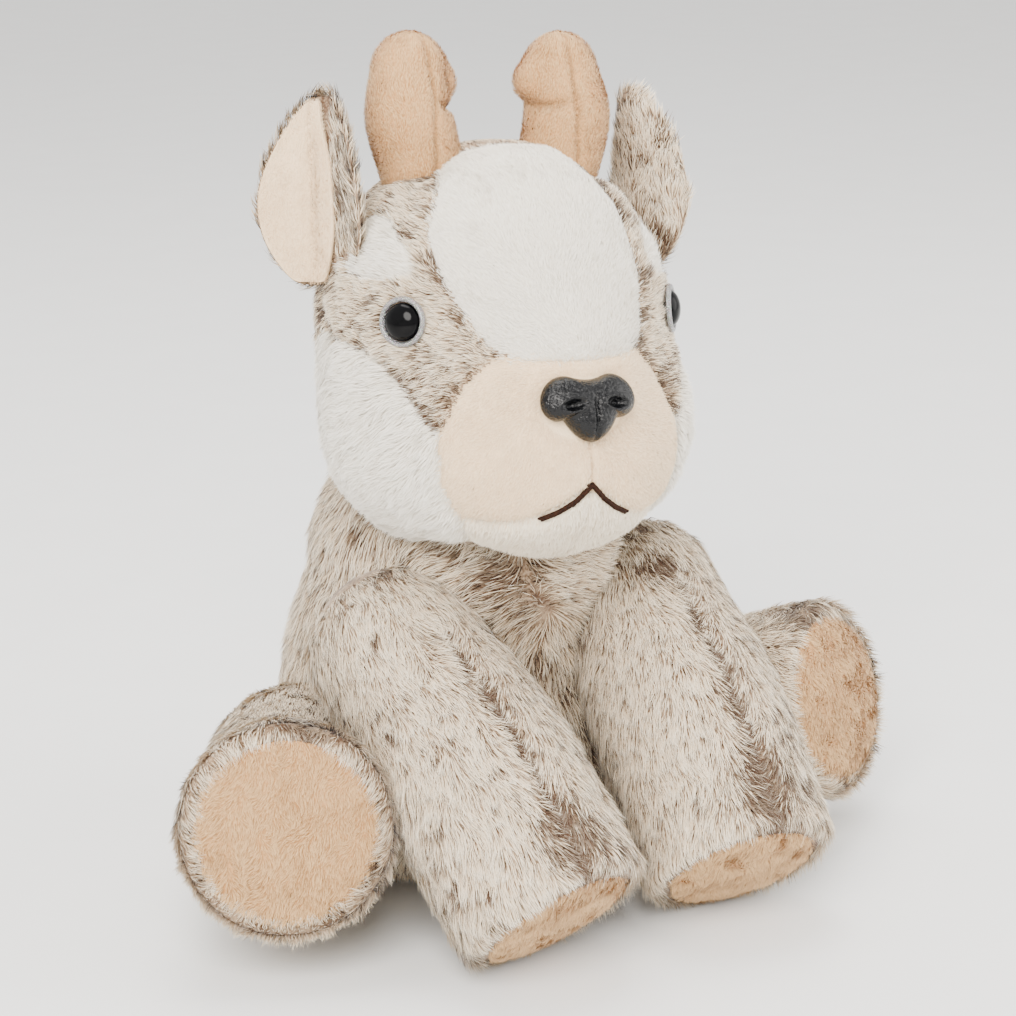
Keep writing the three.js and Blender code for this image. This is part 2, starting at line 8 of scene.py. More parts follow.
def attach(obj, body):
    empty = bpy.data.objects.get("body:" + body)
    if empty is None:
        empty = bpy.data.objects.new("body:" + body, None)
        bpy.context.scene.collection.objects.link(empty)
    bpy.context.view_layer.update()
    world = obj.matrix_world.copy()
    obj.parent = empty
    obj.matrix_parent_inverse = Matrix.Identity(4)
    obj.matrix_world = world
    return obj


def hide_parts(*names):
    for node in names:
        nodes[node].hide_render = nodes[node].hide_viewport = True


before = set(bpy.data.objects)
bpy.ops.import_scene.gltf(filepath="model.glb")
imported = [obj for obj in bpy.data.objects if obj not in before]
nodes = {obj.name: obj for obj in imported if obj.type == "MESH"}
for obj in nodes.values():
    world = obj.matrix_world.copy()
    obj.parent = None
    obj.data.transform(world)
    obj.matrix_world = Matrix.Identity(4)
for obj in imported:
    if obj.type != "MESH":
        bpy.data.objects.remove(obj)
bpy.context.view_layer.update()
rng = np.random.default_rng(11)

# Shapes are worked out in millimetres, in the same places as the CAD solids, and meshes are made in metres.

bodyForward = 17.55
headCentre = np.array([0.0, -21.0, 141.5])
headTilt = math.radians(4)
headTurn = math.radians(-4)
neckCentre = np.array([0.0, -3.0, 82.0])
neckRadius = 41.5
strandShare = 1.0
strandLimit = 64000
clothSteps = 14
noseGrowth = 1.07


def linked(name, data):
    obj = bpy.data.objects.new(name, data)
    bpy.context.collection.objects.link(obj)
    return obj


def makeCamera():
    camera = dict(azimuth=-31.2, elevation=15.5, distance=0.715, roll=-1.1, lens=98.8)
    target = Vector((0, (-30 + bodyForward) / 1000, 0.110))
    a, e = math.radians(camera["azimuth"]), math.radians(camera["elevation"])
    away = Vector((math.sin(a) * math.cos(e), -math.cos(a) * math.cos(e), math.sin(e)))
    data = bpy.data.cameras.new("camera")
    data.lens = camera["lens"]
    data.sensor_width = 36
    data.shift_x = -0.011811024
    data.shift_y = -0.033464567
    data.clip_start = 0.01
    obj = linked("camera", data)
    obj.location = target + away * camera["distance"]
    turn = (-away).to_track_quat("-Z", "Y") @ Quaternion((0, 0, 1), math.radians(camera["roll"]))
    obj.rotation_mode = "QUATERNION"
    obj.rotation_quaternion = turn
    bpy.context.scene.camera = obj
    return target


def addLight(name, place, target, size, power, colour):
    data = bpy.data.lights.new(name, "AREA")
    data.shape = "DISK"
    data.size = size
    data.energy = power
    data.color = colour
    obj = linked(name, data)
    obj.location = place
    obj.rotation_mode = "QUATERNION"
    obj.rotation_quaternion = (target - Vector(place)).to_track_quat("-Z", "Y")


def makeStudio(target):
    addLight("keyLight", (-0.75, -0.85, 0.95), target, 0.9, 40.0, (1.0, 0.965, 0.92))
    addLight("fillLight", (0.95, -0.6, 0.5), target, 1.1, 12.0, (1.0, 0.98, 0.95))
    addLight("topLight", (0.1, 0.25, 1.2), target, 0.8, 12.0, (1.0, 0.985, 0.96))
    world = bpy.data.worlds.new("studio")
    world.use_nodes = True
    world.node_tree.nodes["Background"].inputs["Color"].default_value = (1.0, 0.985, 0.965, 1)
    world.node_tree.nodes["Background"].inputs["Strength"].default_value = 1.35
    bpy.context.scene.world = world


def unit(v):
    return v / np.maximum(np.linalg.norm(v, axis=-1, keepdims=True), 1e-9)


def smoothstep(x, low, high):
    t = np.clip((x - low) / (high - low), 0, 1)
    return t * t * (3 - 2 * t)


def hashed(cells, seed):
    h = (cells[..., 0] * 73856093) ^ (cells[..., 1] * 19349663) ^ (cells[..., 2] * 83492791) ^ (seed * 2654435)
    h = (h ^ (h >> 13)) * 1274126177
    return ((h ^ (h >> 16)) & 0xFFFFF) / 0xFFFFF


# Smooth noise from 0 to 1 with features of that size.
def noise(points, size, seed=0):
    p = points / size
    base = np.floor(p).astype(np.int64)
    f = p - base
    f = f * f * (3 - 2 * f)
    total = np.zeros(len(points))
    for dx in (0, 1):
        for dy in (0, 1):
            for dz in (0, 1):
                weight = np.abs(1 - dx - f[:, 0]) * np.abs(1 - dy - f[:, 1]) * np.abs(1 - dz - f[:, 2])
                total += weight * hashed(base + np.array([dx, dy, dz]), seed)
    return total


def noiseVector(points, size, seed=0):
    return np.stack([noise(points, size, seed + k) - 0.5 for k in range(3)], axis=1)


# The direction in which the noise rises, as three numbers a point.
def noiseSlope(points, size, seed=0):
    step = size * 0.2
    here = noise(points, size, seed)
    return np.stack([noise(points + step * np.eye(3)[k], size, seed) - here for k in range(3)], axis=1)


def makeHeadMatrix():
    ct, st, cz, sz = math.cos(headTilt), math.sin(headTilt), math.cos(headTurn), math.sin(headTurn)
    aboutZ = np.array([[cz, -sz, 0], [sz, cz, 0], [0, 0, 1]])
    aboutY = np.array([[ct, 0, st], [0, 1, 0], [-st, 0, ct]])
    return aboutY @ aboutZ


headMatrix = makeHeadMatrix()


def placeHead(points):
    return (points - headCentre) @ headMatrix.T + headCentre


def unplaceHead(points):
    return (points - headCentre) @ headMatrix + headCentre


def toMetres(points):
    return (points + np.array([0, bodyForward, 0])) / 1000


def gridFaces(rows, sides, closed=True):
    r, s = np.meshgrid(np.arange(rows - 1), np.arange(sides if closed else sides - 1), indexing="ij")
    n = (s + 1) % sides
    return np.stack([r * sides + s, r * sides + n, (r + 1) * sides + n, (r + 1) * sides + s], axis=-1).reshape(-1, 4)


def meshObject(name, verts, faces, material=None):
    mesh = bpy.data.meshes.new(name)
    mesh.from_pydata(toMetres(verts).tolist(), [], faces.tolist() if hasattr(faces, "tolist") else faces)
    mesh.polygons.foreach_set("use_smooth", [True] * len(mesh.polygons))
    mesh.update()
    obj = linked(name, mesh)
    if material:
        mesh.materials.append(material)
    return obj


# The vertices in millimetres, the triangles, and the vertex normals of an object's mesh.
def surfaceOf(obj):
    mesh = obj.data
    verts = np.empty(len(mesh.vertices) * 3)
    mesh.vertices.foreach_get("co", verts)
    mesh.calc_loop_triangles()
    tris = np.empty(len(mesh.loop_triangles) * 3, dtype=np.int64)
    mesh.loop_triangles.foreach_get("vertices", tris)
    normals = np.empty(len(mesh.vertices) * 3)
    mesh.vertices.foreach_get("normal", normals)
    return verts.reshape(-1, 3) * 1000 - np.array([0, bodyForward, 0]), tris.reshape(-1, 3), normals.reshape(-1, 3)


darkTufts = [((-14, -44, 88), 7), ((31, -42, 84), 6), ((-33, -46, 66), 4), ((0, -40, 60), 5)]


# How near each point is to one of the dark tufts under the chin and at the shoulders.
def tufted(points):
    return sum(np.exp(-(np.linalg.norm(points - np.array(centre), axis=1) / size) ** 2) for centre, size in darkTufts)


# Points spread evenly over a surface, with normals and the values of one attribute array.
def scatter(surface, density, keep):
    verts, tris, normals = surface[:3]
    extra = surface[3] if len(surface) > 3 else np.zeros((len(verts), 1))
    a, b, c = verts[tris[:, 0]], verts[tris[:, 1]], verts[tris[:, 2]]
    area = np.linalg.norm(np.cross(b - a, c - a), axis=1) / 2
    count = int(area.sum() * density * strandShare)
    pick = np.searchsorted(np.cumsum(area) / area.sum(), rng.random(count))
    pick = np.minimum(pick, len(tris) - 1)
    u, v = rng.random(count), rng.random(count)
    flip = u + v > 1
    u[flip], v[flip] = 1 - u[flip], 1 - v[flip]
    weights = np.stack([1 - u - v, u, v], axis=1)[:, :, None]
    mixed = [(values[tris[pick]] * weights).sum(axis=1) for values in (verts, normals, extra)]
    points, facing, extras = mixed[0], unit(mixed[1]), mixed[2]
    kept = keep(points, facing, extras)
    return points[kept], facing[kept], extras[kept]


# One mesh of tapering blades, combed along the surface and gathered into soft tufts.
def growStrands(name, points, normals, combs, lengths, tones, material, width=0.3, lift=0.45,
                clump=1.0, clumpSize=3.0, floor=0.3, droop=0.1):
    count = min(len(points), strandLimit)
    points, normals, combs, lengths, tones = (a[:count] for a in (points, normals, combs, lengths, tones))
    combs = combs - normals * (combs * normals).sum(axis=1, keepdims=True)
    combs = unit(unit(combs) + noiseVector(points, 5.0, 3) * 0.9 + rng.normal(0, 0.16, (count, 3)))
    combs = unit(combs - normals * (combs * normals).sum(axis=1, keepdims=True))
    lengths = (lengths * rng.uniform(0.75, 1.15, count))[:, None]
    rise = np.clip(lift * rng.uniform(0.7, 1.35, count), 0.05, 1.2)[:, None]
    lay = np.sqrt(np.maximum(0.05, 1 - np.minimum(rise, 0.97) ** 2))
    gather = noiseSlope(points, clumpSize, 9) * clump * lengths * 1.5
    root = points - normals * 0.3
    middle = points + normals * lengths * rise * 0.62 + combs * lengths * lay * 0.4 + gather * 0.3
    tip = points + normals * lengths * rise * 0.9 + combs * lengths * lay * 0.95 + gather
    tip[:, 2] -= lengths[:, 0] * droop
    side = unit(np.cross(combs, normals) + rng.normal(0, 0.35, (count, 3)))
    half = (width * rng.uniform(0.7, 1.2, count) / 2)[:, None]
    verts = np.stack([root - side * half, root + side * half, middle - side * half * 0.85,
                      middle + side * half * 0.85, tip], axis=1).reshape(-1, 3)
    verts[:, 2] = np.maximum(verts[:, 2], floor)
    base = np.arange(count)[:, None] * 5
    quads = base + np.array([0, 1, 3, 2])
    caps = base + np.array([2, 3, 4])
    mesh = bpy.data.meshes.new(name)
    loops = np.concatenate([quads, caps], axis=1).reshape(-1)
    mesh.vertices.add(len(verts))
    mesh.vertices.foreach_set("co", toMetres(verts).reshape(-1))
    mesh.loops.add(len(loops))
    mesh.loops.foreach_set("vertex_index", loops.astype(np.int32))
    mesh.polygons.add(count * 2)
    starts = (np.arange(count)[:, None] * 7 + np.array([0, 4])).reshape(-1)
    mesh.polygons.foreach_set("loop_start", starts.astype(np.int32))
    mesh.update(calc_edges=True)
    mesh.validate()
    uv = mesh.uv_layers.new(name="OFBake")
    tone = np.clip(tones, 0.02, 0.97)[:, None]
    u = np.concatenate([tone, tone + 0.01, tone + 0.01, tone, tone, tone + 0.01, tone + 0.005], axis=1)
    v = np.tile(np.array([0.02, 0.02, 0.5, 0.5, 0.5, 0.5, 0.98]), (count, 1))
    uv.data.foreach_set("uv", np.stack([u, v], axis=2).reshape(-1))
    mesh.polygons.foreach_set("use_smooth", [True] * (count * 2))
    soft = unit(normals + rng.normal(0, 0.14, (count, 3)) - combs * 0.12)
    mesh.normals_split_custom_set_from_vertices(np.repeat(soft, 5, axis=0).tolist())
    mesh.materials.append(material)
    return linked(name, mesh)


# A tone for each strand: mostly pale, with some brown ones among them, more where the chance is high and in
# the dips between tufts.
def flecked(points, chance, dark=0.78, pale=0.1, tuft=3.0):
    # The dips between tufts get more brown strands: partly the brown roots that show where the tufts part, partly
    # painted shade in the partings.
    partingShade = smoothstep(-noise(points, tuft, 9), -0.42, -0.18)
    odds = np.clip(chance + partingShade * (0.08 + chance * 0.6), 0, 0.95)
    brown = rng.random(len(points)) < odds
    return np.where(brown, dark + rng.uniform(-0.22, 0.15, len(points)), pale + rng.uniform(-0.08, 0.18, len(points)))


def centripetal(points, t):
    points = [np.array(p, dtype=float) for p in points]
    last = len(points) - 1
    place = last * t
    i = min(int(place), last - 1)
    w = place - i
    p1, p2 = points[i], points[i + 1]
    p0 = points[i - 1] if i > 0 else 2 * points[0] - points[1]
    p3 = points[i + 2] if i + 2 <= last else 2 * points[last] - points[last - 1]
    d0, d1, d2 = (max(np.linalg.norm(b - a) ** 0.5, 1e-4) for a, b in ((p0, p1), (p1, p2), (p2, p3)))
    t1 = ((p1 - p0) / d0 - (p2 - p0) / (d0 + d1) + (p2 - p1) / d1) * d1
    t2 = ((p2 - p1) / d1 - (p3 - p1) / (d1 + d2) + (p3 - p2) / d2) * d1
    return p1 + t1 * w + (-3 * p1 + 3 * p2 - 2 * t1 - t2) * w ** 2 + (2 * p1 - 2 * p2 + t1 + t2) * w ** 3


def evenSpline(values, t):
    values = np.array(values, dtype=float)
    last = len(values) - 1
    place = last * t
    i = min(int(place), last - 1)
    w = place - i
    v0, v1, v2 = values[max(i - 1, 0)], values[i], values[i + 1]
    v3 = values[min(i + 2, last)]
    t1, t2 = (v2 - v0) / 2, (v3 - v1) / 2
    return (2 * v1 - 2 * v2 + t1 + t2) * w ** 3 + (-3 * v1 + 3 * v2 - 2 * t1 - t2) * w ** 2 + t1 * w + v1


# Rings of a stuffed limb from its root pole to its end, and how far along each ring is.
def limbRings(path, radii, flat=1.0, rows=44, sides=56, capRows=12, endDepth=1.0):
    def tangent(t):
        return unit(centripetal(path, min(t + 1e-3, 1)) - centripetal(path, max(t - 1e-3, 0)))

    sideways = abs(tangent(0)[0]) > 0.8
    angles = np.linspace(0, 2 * np.pi, sides, endpoint=False)
    rings, along, forwards = [], [], []

    def ring(centre, across, other, radius, squeeze, place, forward):
        rings.append(centre + np.outer(np.cos(angles), across) * radius
                     + np.outer(np.sin(angles), other) * radius * squeeze)
        along.append(place)
        forwards.append(forward)

    def frameAt(t):
        forward = tangent(t)
        across = np.array([0.0, 1, 0]) if sideways else np.array([1.0, 0, 0])
        across = unit(across - forward * across.dot(forward))
        return centripetal(path, t), forward, across, np.cross(forward, across), evenSpline(radii, t)

    centre, forward, across, other, radius = frameAt(0)
    for turn in np.linspace(0.04, np.pi / 2, capRows, endpoint=False):
        ring(centre - forward * radius * math.cos(turn), across, other, radius * math.sin(turn), 1, turn - 2, forward)
    for t in np.linspace(0, 1, rows):
        centre, forward, across, other, radius = frameAt(t)
        ring(centre, across, other, radius, 1 + (flat - 1) * t, t, forward)
    for turn in np.linspace(0, np.pi / 2 - 0.03, capRows * 2)[1:]:
        ring(centre + forward * radius * endDepth * math.sin(turn), across, other, radius * math.cos(turn), flat,
             1 + turn, forward)
    return np.array(rings), np.array(along), np.array(forwards)


# Vertices and faces of rings closed by a fan at each end.
def closedGrid(rings):
    rows, sides = rings.shape[:2]
    verts = np.concatenate([rings.reshape(-1, 3), rings[0].mean(axis=0)[None], rings[-1].mean(axis=0)[None]])
    faces = gridFaces(rows, sides).tolist()
    first, last = rows * sides, rows * sides + 1
    for s in range(sides):
        n = (s + 1) % sides
        faces.append([first, n, s])
        faces.append([last, (rows - 1) * sides + s, (rows - 1) * sides + n])
    return verts, faces


# The faces turned so that the closed form's normals point outwards.
def outwardFaces(verts, faces):
    volume = 0.0
    for face in faces:
        a = verts[face[0]]
        for i in range(1, len(face) - 1):
            volume += np.dot(a, np.cross(verts[face[i]], verts[face[i + 1]]))
    return faces if volume > 0 else [face[::-1] for face in faces]


def newGroup(name, inputs, outputs):
    group = bpy.data.node_groups.new(name, "ShaderNodeTree")
    for label, kind, value in inputs:
        group.interface.new_socket(name=label, in_out="INPUT", socket_type=kind).default_value = value
    for label, kind in outputs:
        group.interface.new_socket(name=label, in_out="OUTPUT", socket_type=kind)
    return group, group.nodes.new("NodeGroupInput"), group.nodes.new("NodeGroupOutput")


def mathNode(tree, operation, a, b=None):
    node = tree.nodes.new("ShaderNodeMath")
    node.operation = operation
    for socket, value in zip(node.inputs, (a, b)):
        if isinstance(value, (int, float)):
            socket.default_value = value
        elif value is not None:
            tree.links.new(value, socket)
    return node.outputs[0]


def mixNode(tree, factor, a, b, blend="MIX"):
    node = tree.nodes.new("ShaderNodeMix")
    node.data_type = "RGBA"
    node.blend_type = blend
    for socket, value in ((node.inputs[0], factor), (node.inputs[6], a), (node.inputs[7], b)):
        if isinstance(value, (int, float, tuple)):
            socket.default_value = value
        else:
            tree.links.new(value, socket)
    return node.outputs[2]


def rampNode(tree, value, low, high):
    node = tree.nodes.new("ShaderNodeMapRange")
    node.interpolation_type = "SMOOTHSTEP"
    tree.links.new(value, node.inputs["Value"])
    node.inputs["From Min"].default_value = low
    node.inputs["From Max"].default_value = high
    return node.outputs["Result"]


def noiseNode(tree, scale, detail=3.0, kind="ShaderNodeTexNoise"):
    node = tree.nodes.new(kind)
    node.inputs["Scale"].default_value = scale
    if "Detail" in node.inputs:
        node.inputs["Detail"].default_value = detail
    tree.links.new(tree.nodes.new("ShaderNodeTexCoord").outputs["Object"], node.inputs["Vector"])
    return node


# A blade's colour from its root to its tip, with a tone from cream to dark across the fur.
def makeStrandGroup():
    colour = ("NodeSocketColor", (1, 1, 1, 1))
    group, given, result = newGroup(
        "strandColour", [(label, *colour) for label in ("Root", "Middle", "Tip", "Dark root", "Dark tip")],
        [("Colour", "NodeSocketColor")])
    layer = group.nodes.new("ShaderNodeUVMap")
    layer.uv_map = "OFBake"
    split = group.nodes.new("ShaderNodeSeparateXYZ")
    group.links.new(layer.outputs["UV"], split.inputs[0])
    tone, height = split.outputs["X"], split.outputs["Y"]
    pale = mixNode(group, rampNode(group, height, 0.0, 0.5), given.outputs["Root"], given.outputs["Middle"])
    pale = mixNode(group, rampNode(group, height, 0.4, 0.95), pale, given.outputs["Tip"])
    dark = mixNode(group, rampNode(group, height, 0.2, 0.95), given.outputs["Dark root"], given.outputs["Dark tip"])
    group.links.new(mixNode(group, rampNode(group, tone, 0.1, 0.9), pale, dark), result.inputs[0])
    return group


# A mottled pair of colours and a fine pile bump for the cloth under the fur.
def makeClothGroup():
    group, given, result = newGroup(
        "pileCloth",
        [("Pale", "NodeSocketColor", (1, 1, 1, 1)), ("Deep", "NodeSocketColor", (1, 1, 1, 1)),
         ("Patch scale", "NodeSocketFloat", 120.0), ("Pile scale", "NodeSocketFloat", 1400.0),
         ("Relief", "NodeSocketFloat", 0.4)],
        [("Colour", "NodeSocketColor"), ("Normal", "NodeSocketVector")])
    patches = noiseNode(group, 120)
    group.links.new(given.outputs["Patch scale"], patches.inputs["Scale"])
    pile = noiseNode(group, 1400, detail=2)
    group.links.new(given.outputs["Pile scale"], pile.inputs["Scale"])
    both = mathNode(group, "ADD", mathNode(group, "MULTIPLY", patches.outputs[0], 0.6),
                    mathNode(group, "MULTIPLY", pile.outputs[0], 0.4))
    group.links.new(mixNode(group, rampNode(group, both, 0.36, 0.62), given.outputs["Deep"], given.outputs["Pale"]),
                    result.inputs["Colour"])
    bump = group.nodes.new("ShaderNodeBump")
    bump.inputs["Distance"].default_value = 0.0006
    group.links.new(given.outputs["Relief"], bump.inputs["Strength"])
    group.links.new(pile.outputs[0], bump.inputs["Height"])
    group.links.new(bump.outputs[0], result.inputs["Normal"])
    return group


strandGroup = makeStrandGroup()
clothGroup = makeClothGroup()


def linear(rgb):
    return tuple(c / 12.92 if c <= 0.04045 else ((c + 0.055) / 1.055) ** 2.4 for c in (v / 255 for v in rgb)) + (1,)


def newMaterial(name, roughness, **settings):
    material = bpy.data.materials.new(name)
    material.use_nodes = True
    shader = material.node_tree.nodes["Principled BSDF"]
    shader.inputs["Roughness"].default_value = roughness
    for label, value in settings.items():
        shader.inputs[label.replace("_", " ")].default_value = value
    return material, material.node_tree, shader


def useGroup(tree, group, **values):
    node = tree.nodes.new("ShaderNodeGroup")
    node.node_tree = group
    for label, value in values.items():
        node.inputs[label.replace("_", " ")].default_value = value
    return node


def strandMaterial(name, root, middle, tip, darkRoot, darkTip):
    material, tree, shader = newMaterial(name, 0.85, Sheen_Weight=0.15, Sheen_Roughness=0.5, Specular_IOR_Level=0.2)
    node = useGroup(tree, strandGroup, Root=linear(root), Middle=linear(middle), Tip=linear(tip),
                    Dark_root=linear(darkRoot), Dark_tip=linear(darkTip))
    tree.links.new(node.outputs["Colour"], shader.inputs["Base Color"])
    return material


def clothMaterial(name, pale, deep, patch=120.0, pile=1400.0, relief=0.4):
    material, tree, shader = newMaterial(name, 0.92, Sheen_Weight=0.2, Specular_IOR_Level=0.2)
    node = useGroup(tree, clothGroup, Pale=linear(pale), Deep=linear(deep), Patch_scale=patch, Pile_scale=pile,
                    Relief=relief)
    tree.links.new(node.outputs["Colour"], shader.inputs["Base Color"])
    tree.links.new(node.outputs["Normal"], shader.inputs["Normal"])
    return material


furColours = {
    "mottled": dict(root=(110, 74, 50), middle=(220, 197, 164), tip=(248, 238, 218), darkRoot=(34, 19, 12),
                    darkTip=(88, 58, 38)),
    "white": dict(root=(212, 201, 180), middle=(240, 233, 218), tip=(250, 246, 236), darkRoot=(158, 142, 118),
                  darkTip=(212, 202, 182)),
    "chin": dict(root=(222, 204, 174), middle=(242, 229, 205), tip=(250, 240, 221), darkRoot=(176, 152, 122),
                 darkTip=(216, 198, 168)),
    "cream": dict(root=(224, 194, 154), middle=(244, 218, 180), tip=(251, 230, 196), darkRoot=(190, 156, 118),
                  darkTip=(226, 198, 160)),
    "tan": dict(root=(172, 130, 84), middle=(206, 164, 112), tip=(226, 188, 138), darkRoot=(140, 100, 62),
                darkTip=(186, 144, 96)),
}
strandMaterials = {name: strandMaterial(name + "Strands", **colours) for name, colours in furColours.items()}
clothMaterials = {
    "mottled": clothMaterial("mottledBacking", (176, 152, 124), (92, 66, 48), patch=160),
    "white": clothMaterial("whiteBacking", (238, 233, 222), (218, 211, 197)),
    "chin": clothMaterial("paleVelvet", (240, 226, 202), (226, 208, 180), patch=60, pile=2000, relief=0.3),
    "cream": clothMaterial("creamVelvet", (242, 216, 178), (228, 198, 158), patch=60, pile=2200, relief=0.25),
    "tan": clothMaterial("tanPlush", (208, 160, 108), (176, 128, 80), patch=90, pile=1700, relief=0.5),
}


def addBump(tree, shader, height, strength, distance=0.0005):
    bump = tree.nodes.new("ShaderNodeBump")
    bump.inputs["Strength"].default_value = strength
    bump.inputs["Distance"].default_value = distance
    tree.links.new(height, bump.inputs["Height"])
    tree.links.new(bump.outputs[0], shader.inputs["Normal"])


def addPatches(tree, shader, value, first, second):
    colour = mixNode(tree, rampNode(tree, value, 0.3, 0.7), linear(first), linear(second))
    tree.links.new(colour, shader.inputs["Base Color"])


# Glossy moulded plastic with a leathery grain.
def makeLeather():
    material, tree, shader = newMaterial("leatheryPlastic", 0.2, Specular_IOR_Level=0.28)
    cells = noiseNode(tree, 750, kind="ShaderNodeTexVoronoi")
    cells.feature = "DISTANCE_TO_EDGE"
    fine = noiseNode(tree, 2600, detail=4)
    height = mathNode(tree, "ADD", rampNode(tree, cells.outputs[0], 0.0, 0.28),
                      mathNode(tree, "MULTIPLY", fine.outputs[0], 0.35))
    addBump(tree, shader, height, 0.5)
    addPatches(tree, shader, fine.outputs[0], (1, 1, 2), (8, 9, 12))
    return material


def makeGlitter():
    material, tree, shader = newMaterial("silverGlitter", 0.22, Metallic=0.85, Coat_Weight=0.3, Coat_Roughness=0.06)
    flakes = noiseNode(tree, 3800, kind="ShaderNodeTexVoronoi")
    tone = mixNode(tree, rampNode(tree, flakes.outputs["Distance"], 0.1, 0.7), linear((255, 255, 255)),
                   linear((150, 149, 148)))
    tree.links.new(mixNode(tree, 0.14, tone, flakes.outputs["Color"], "OVERLAY"), shader.inputs["Base Color"])
    addBump(tree, shader, flakes.outputs["Color"], 0.9, 0.0002)
    return material


def makePupil():
    material, tree, shader = newMaterial("pupilPlastic", 0.12, Specular_IOR_Level=0.12)
    depth = noiseNode(tree, 500, detail=2)
    addPatches(tree, shader, depth.outputs[0], (2, 2, 3), (6, 6, 7))
    return material


def makeThread():
    material, tree, shader = newMaterial("brownThread", 0.7, Specular_IOR_Level=0.1)
    fibres = noiseNode(tree, 2400, detail=4)
    addPatches(tree, shader, fibres.outputs[0], (20, 9, 5), (50, 27, 16))
    return material


def makeFloor(target):
    mesh = bpy.data.meshes.new("floor")
    across = np.linspace(-1, 1, 33)
    grid = np.stack(np.meshgrid(across, across), axis=-1).reshape(-1, 2) * 14
    mesh.from_pydata([(x, y, -0.0002) for x, y in grid.tolist()], [], gridFaces(33, 33, False).tolist())
    floor = linked("floor", mesh)
    material, tree, shader = newMaterial("paleFloor", 0.75)
    grain = noiseNode(tree, 30, detail=5)
    colour = mixNode(tree, grain.outputs[0], linear((232, 232, 231)), linear((238, 238, 237)))
    tree.links.new(colour, shader.inputs["Base Color"])
    mesh.materials.append(material)


def hiddenMaterial(name, pale, deep, scale, roughness=0.9):
    material, tree, shader = newMaterial(name, roughness)
    patches = noiseNode(tree, scale, detail=5)
    addPatches(tree, shader, patches.outputs[0], deep, pale)
    addBump(tree, shader, patches.outputs[0], 0.4)
    return material


# The CAD solids that stay as they are inside: filling, pellet pouch and washers.
def dressHidden():
    fibre = hiddenMaterial("fibreFill", (246, 246, 243), (226, 226, 222), 700)
    pouch = hiddenMaterial("beanCloth", (224, 219, 204), (206, 199, 180), 1800)
    plastic = hiddenMaterial("washerPlastic", (236, 236, 234), (226, 226, 223), 900, roughness=0.45)
    for name, obj in nodes.items():
        if name.endswith("stuffing") or "_stuffing_" in name:
            material = fibre
        elif name == "bean_pouch":
            material = pouch
        elif "washer" in name:
            material = plastic
        else:
            continue
        obj.data.materials.clear()
        obj.data.materials.append(material)


target = makeCamera()
makeStudio(target)
makeFloor(target)
dressHidden()
print("camera, light and materials made")


# Swells a skin with cloth pressure between its pinned seams, applies it, and keeps each point within the
# cap.
def puffed(obj, pinned, pressure, cap):
    mesh = obj.data
    start = np.array([v.co for v in mesh.vertices])
    group = obj.vertex_groups.new(name="seams")
    for index, weight in enumerate(pinned):
        group.add([index], float(weight), "REPLACE")
    cloth = obj.modifiers.new("stuffing", "CLOTH")
    cloth.settings.quality = 6
    cloth.settings.mass = 0.2
    cloth.settings.tension_stiffness = 12
    cloth.settings.compression_stiffness = 12
    cloth.settings.bending_stiffness = 0.4
    cloth.settings.use_pressure = True
    cloth.settings.uniform_pressure_force = pressure
    cloth.settings.vertex_group_mass = "seams"
    cloth.settings.effector_weights.gravity = 0
    cloth.collision_settings.use_collision = False
    for step in range(1, clothSteps + 1):
        bpy.context.scene.frame_set(step)
    shape = obj.evaluated_get(bpy.context.evaluated_depsgraph_get()).data
    end = np.array([v.co for v in shape.vertices])
    bpy.context.scene.frame_set(1)
    obj.modifiers.remove(cloth)
    obj.vertex_groups.clear()
    move = end - start
    far = np.linalg.norm(move, axis=1, keepdims=True)
    move *= np.minimum(1, cap / np.maximum(far, 1e-9))
    mesh.vertices.foreach_set("co", (start + move).reshape(-1))
    mesh.update()


def subdivided(obj, levels=1):
    modifier = obj.modifiers.new("rounding", "SUBSURF")
    modifier.levels = modifier.render_levels = levels
    mesh = bpy.data.meshes.new_from_object(obj.evaluated_get(bpy.context.evaluated_depsgraph_get()))
    obj.modifiers.remove(modifier)
    obj.data = mesh
    mesh.polygons.foreach_set("use_smooth", [True] * len(mesh.polygons))


def declare(obj, body, replaced=()):
    if replaced:
        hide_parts(*replaced)
    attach(obj, body)


torso = {
    "sections": [(0.4, 7, 38.5, 34.5), (5, 7, 45.5, 41.5), (16, 6.5, 48, 44), (34, 7, 47.5, 43.5), (52, 7, 46, 42),
                 (68, 3, 44, 41), (82, -3, 41.3, 41.3)],
    "sides": 84, "rows": 46, "domeRows": 14, "furLength": 6.2, "density": 4.2,
}
legs = {
    "front_leg": dict(path=[(37, -28, 69), (32.5, -57.5, 46.5), (28, -86.5, 18.4)], radii=[21, 24.2, 24.2],
                      flat=0.98, sole=20.3, furLength=5.0, density=5.4),
    "hind_leg": dict(path=[(50.5, 3, 27.5), (67.5, -23, 31), (81.5, -52.5, 39)], radii=[23.5, 22.3, 25.8],
                     flat=1.0, sole=23.5, furLength=5.4, density=5.0),
}
footDomeShare = 0.24
seamSpread = 1.3


def mirroredPath(path, side):
    return [(x * side, y, z) for x, y, z in path]


# How far points are outside a limb, from spheres along it.
def limbDistance(points, path, radii):
    best = np.full(len(points), 1e9)
    for t in np.linspace(0, 1, 13):
        best = np.minimum(best, np.linalg.norm(points - centripetal(path, t), axis=1) - evenSpline(radii, t))
    return best


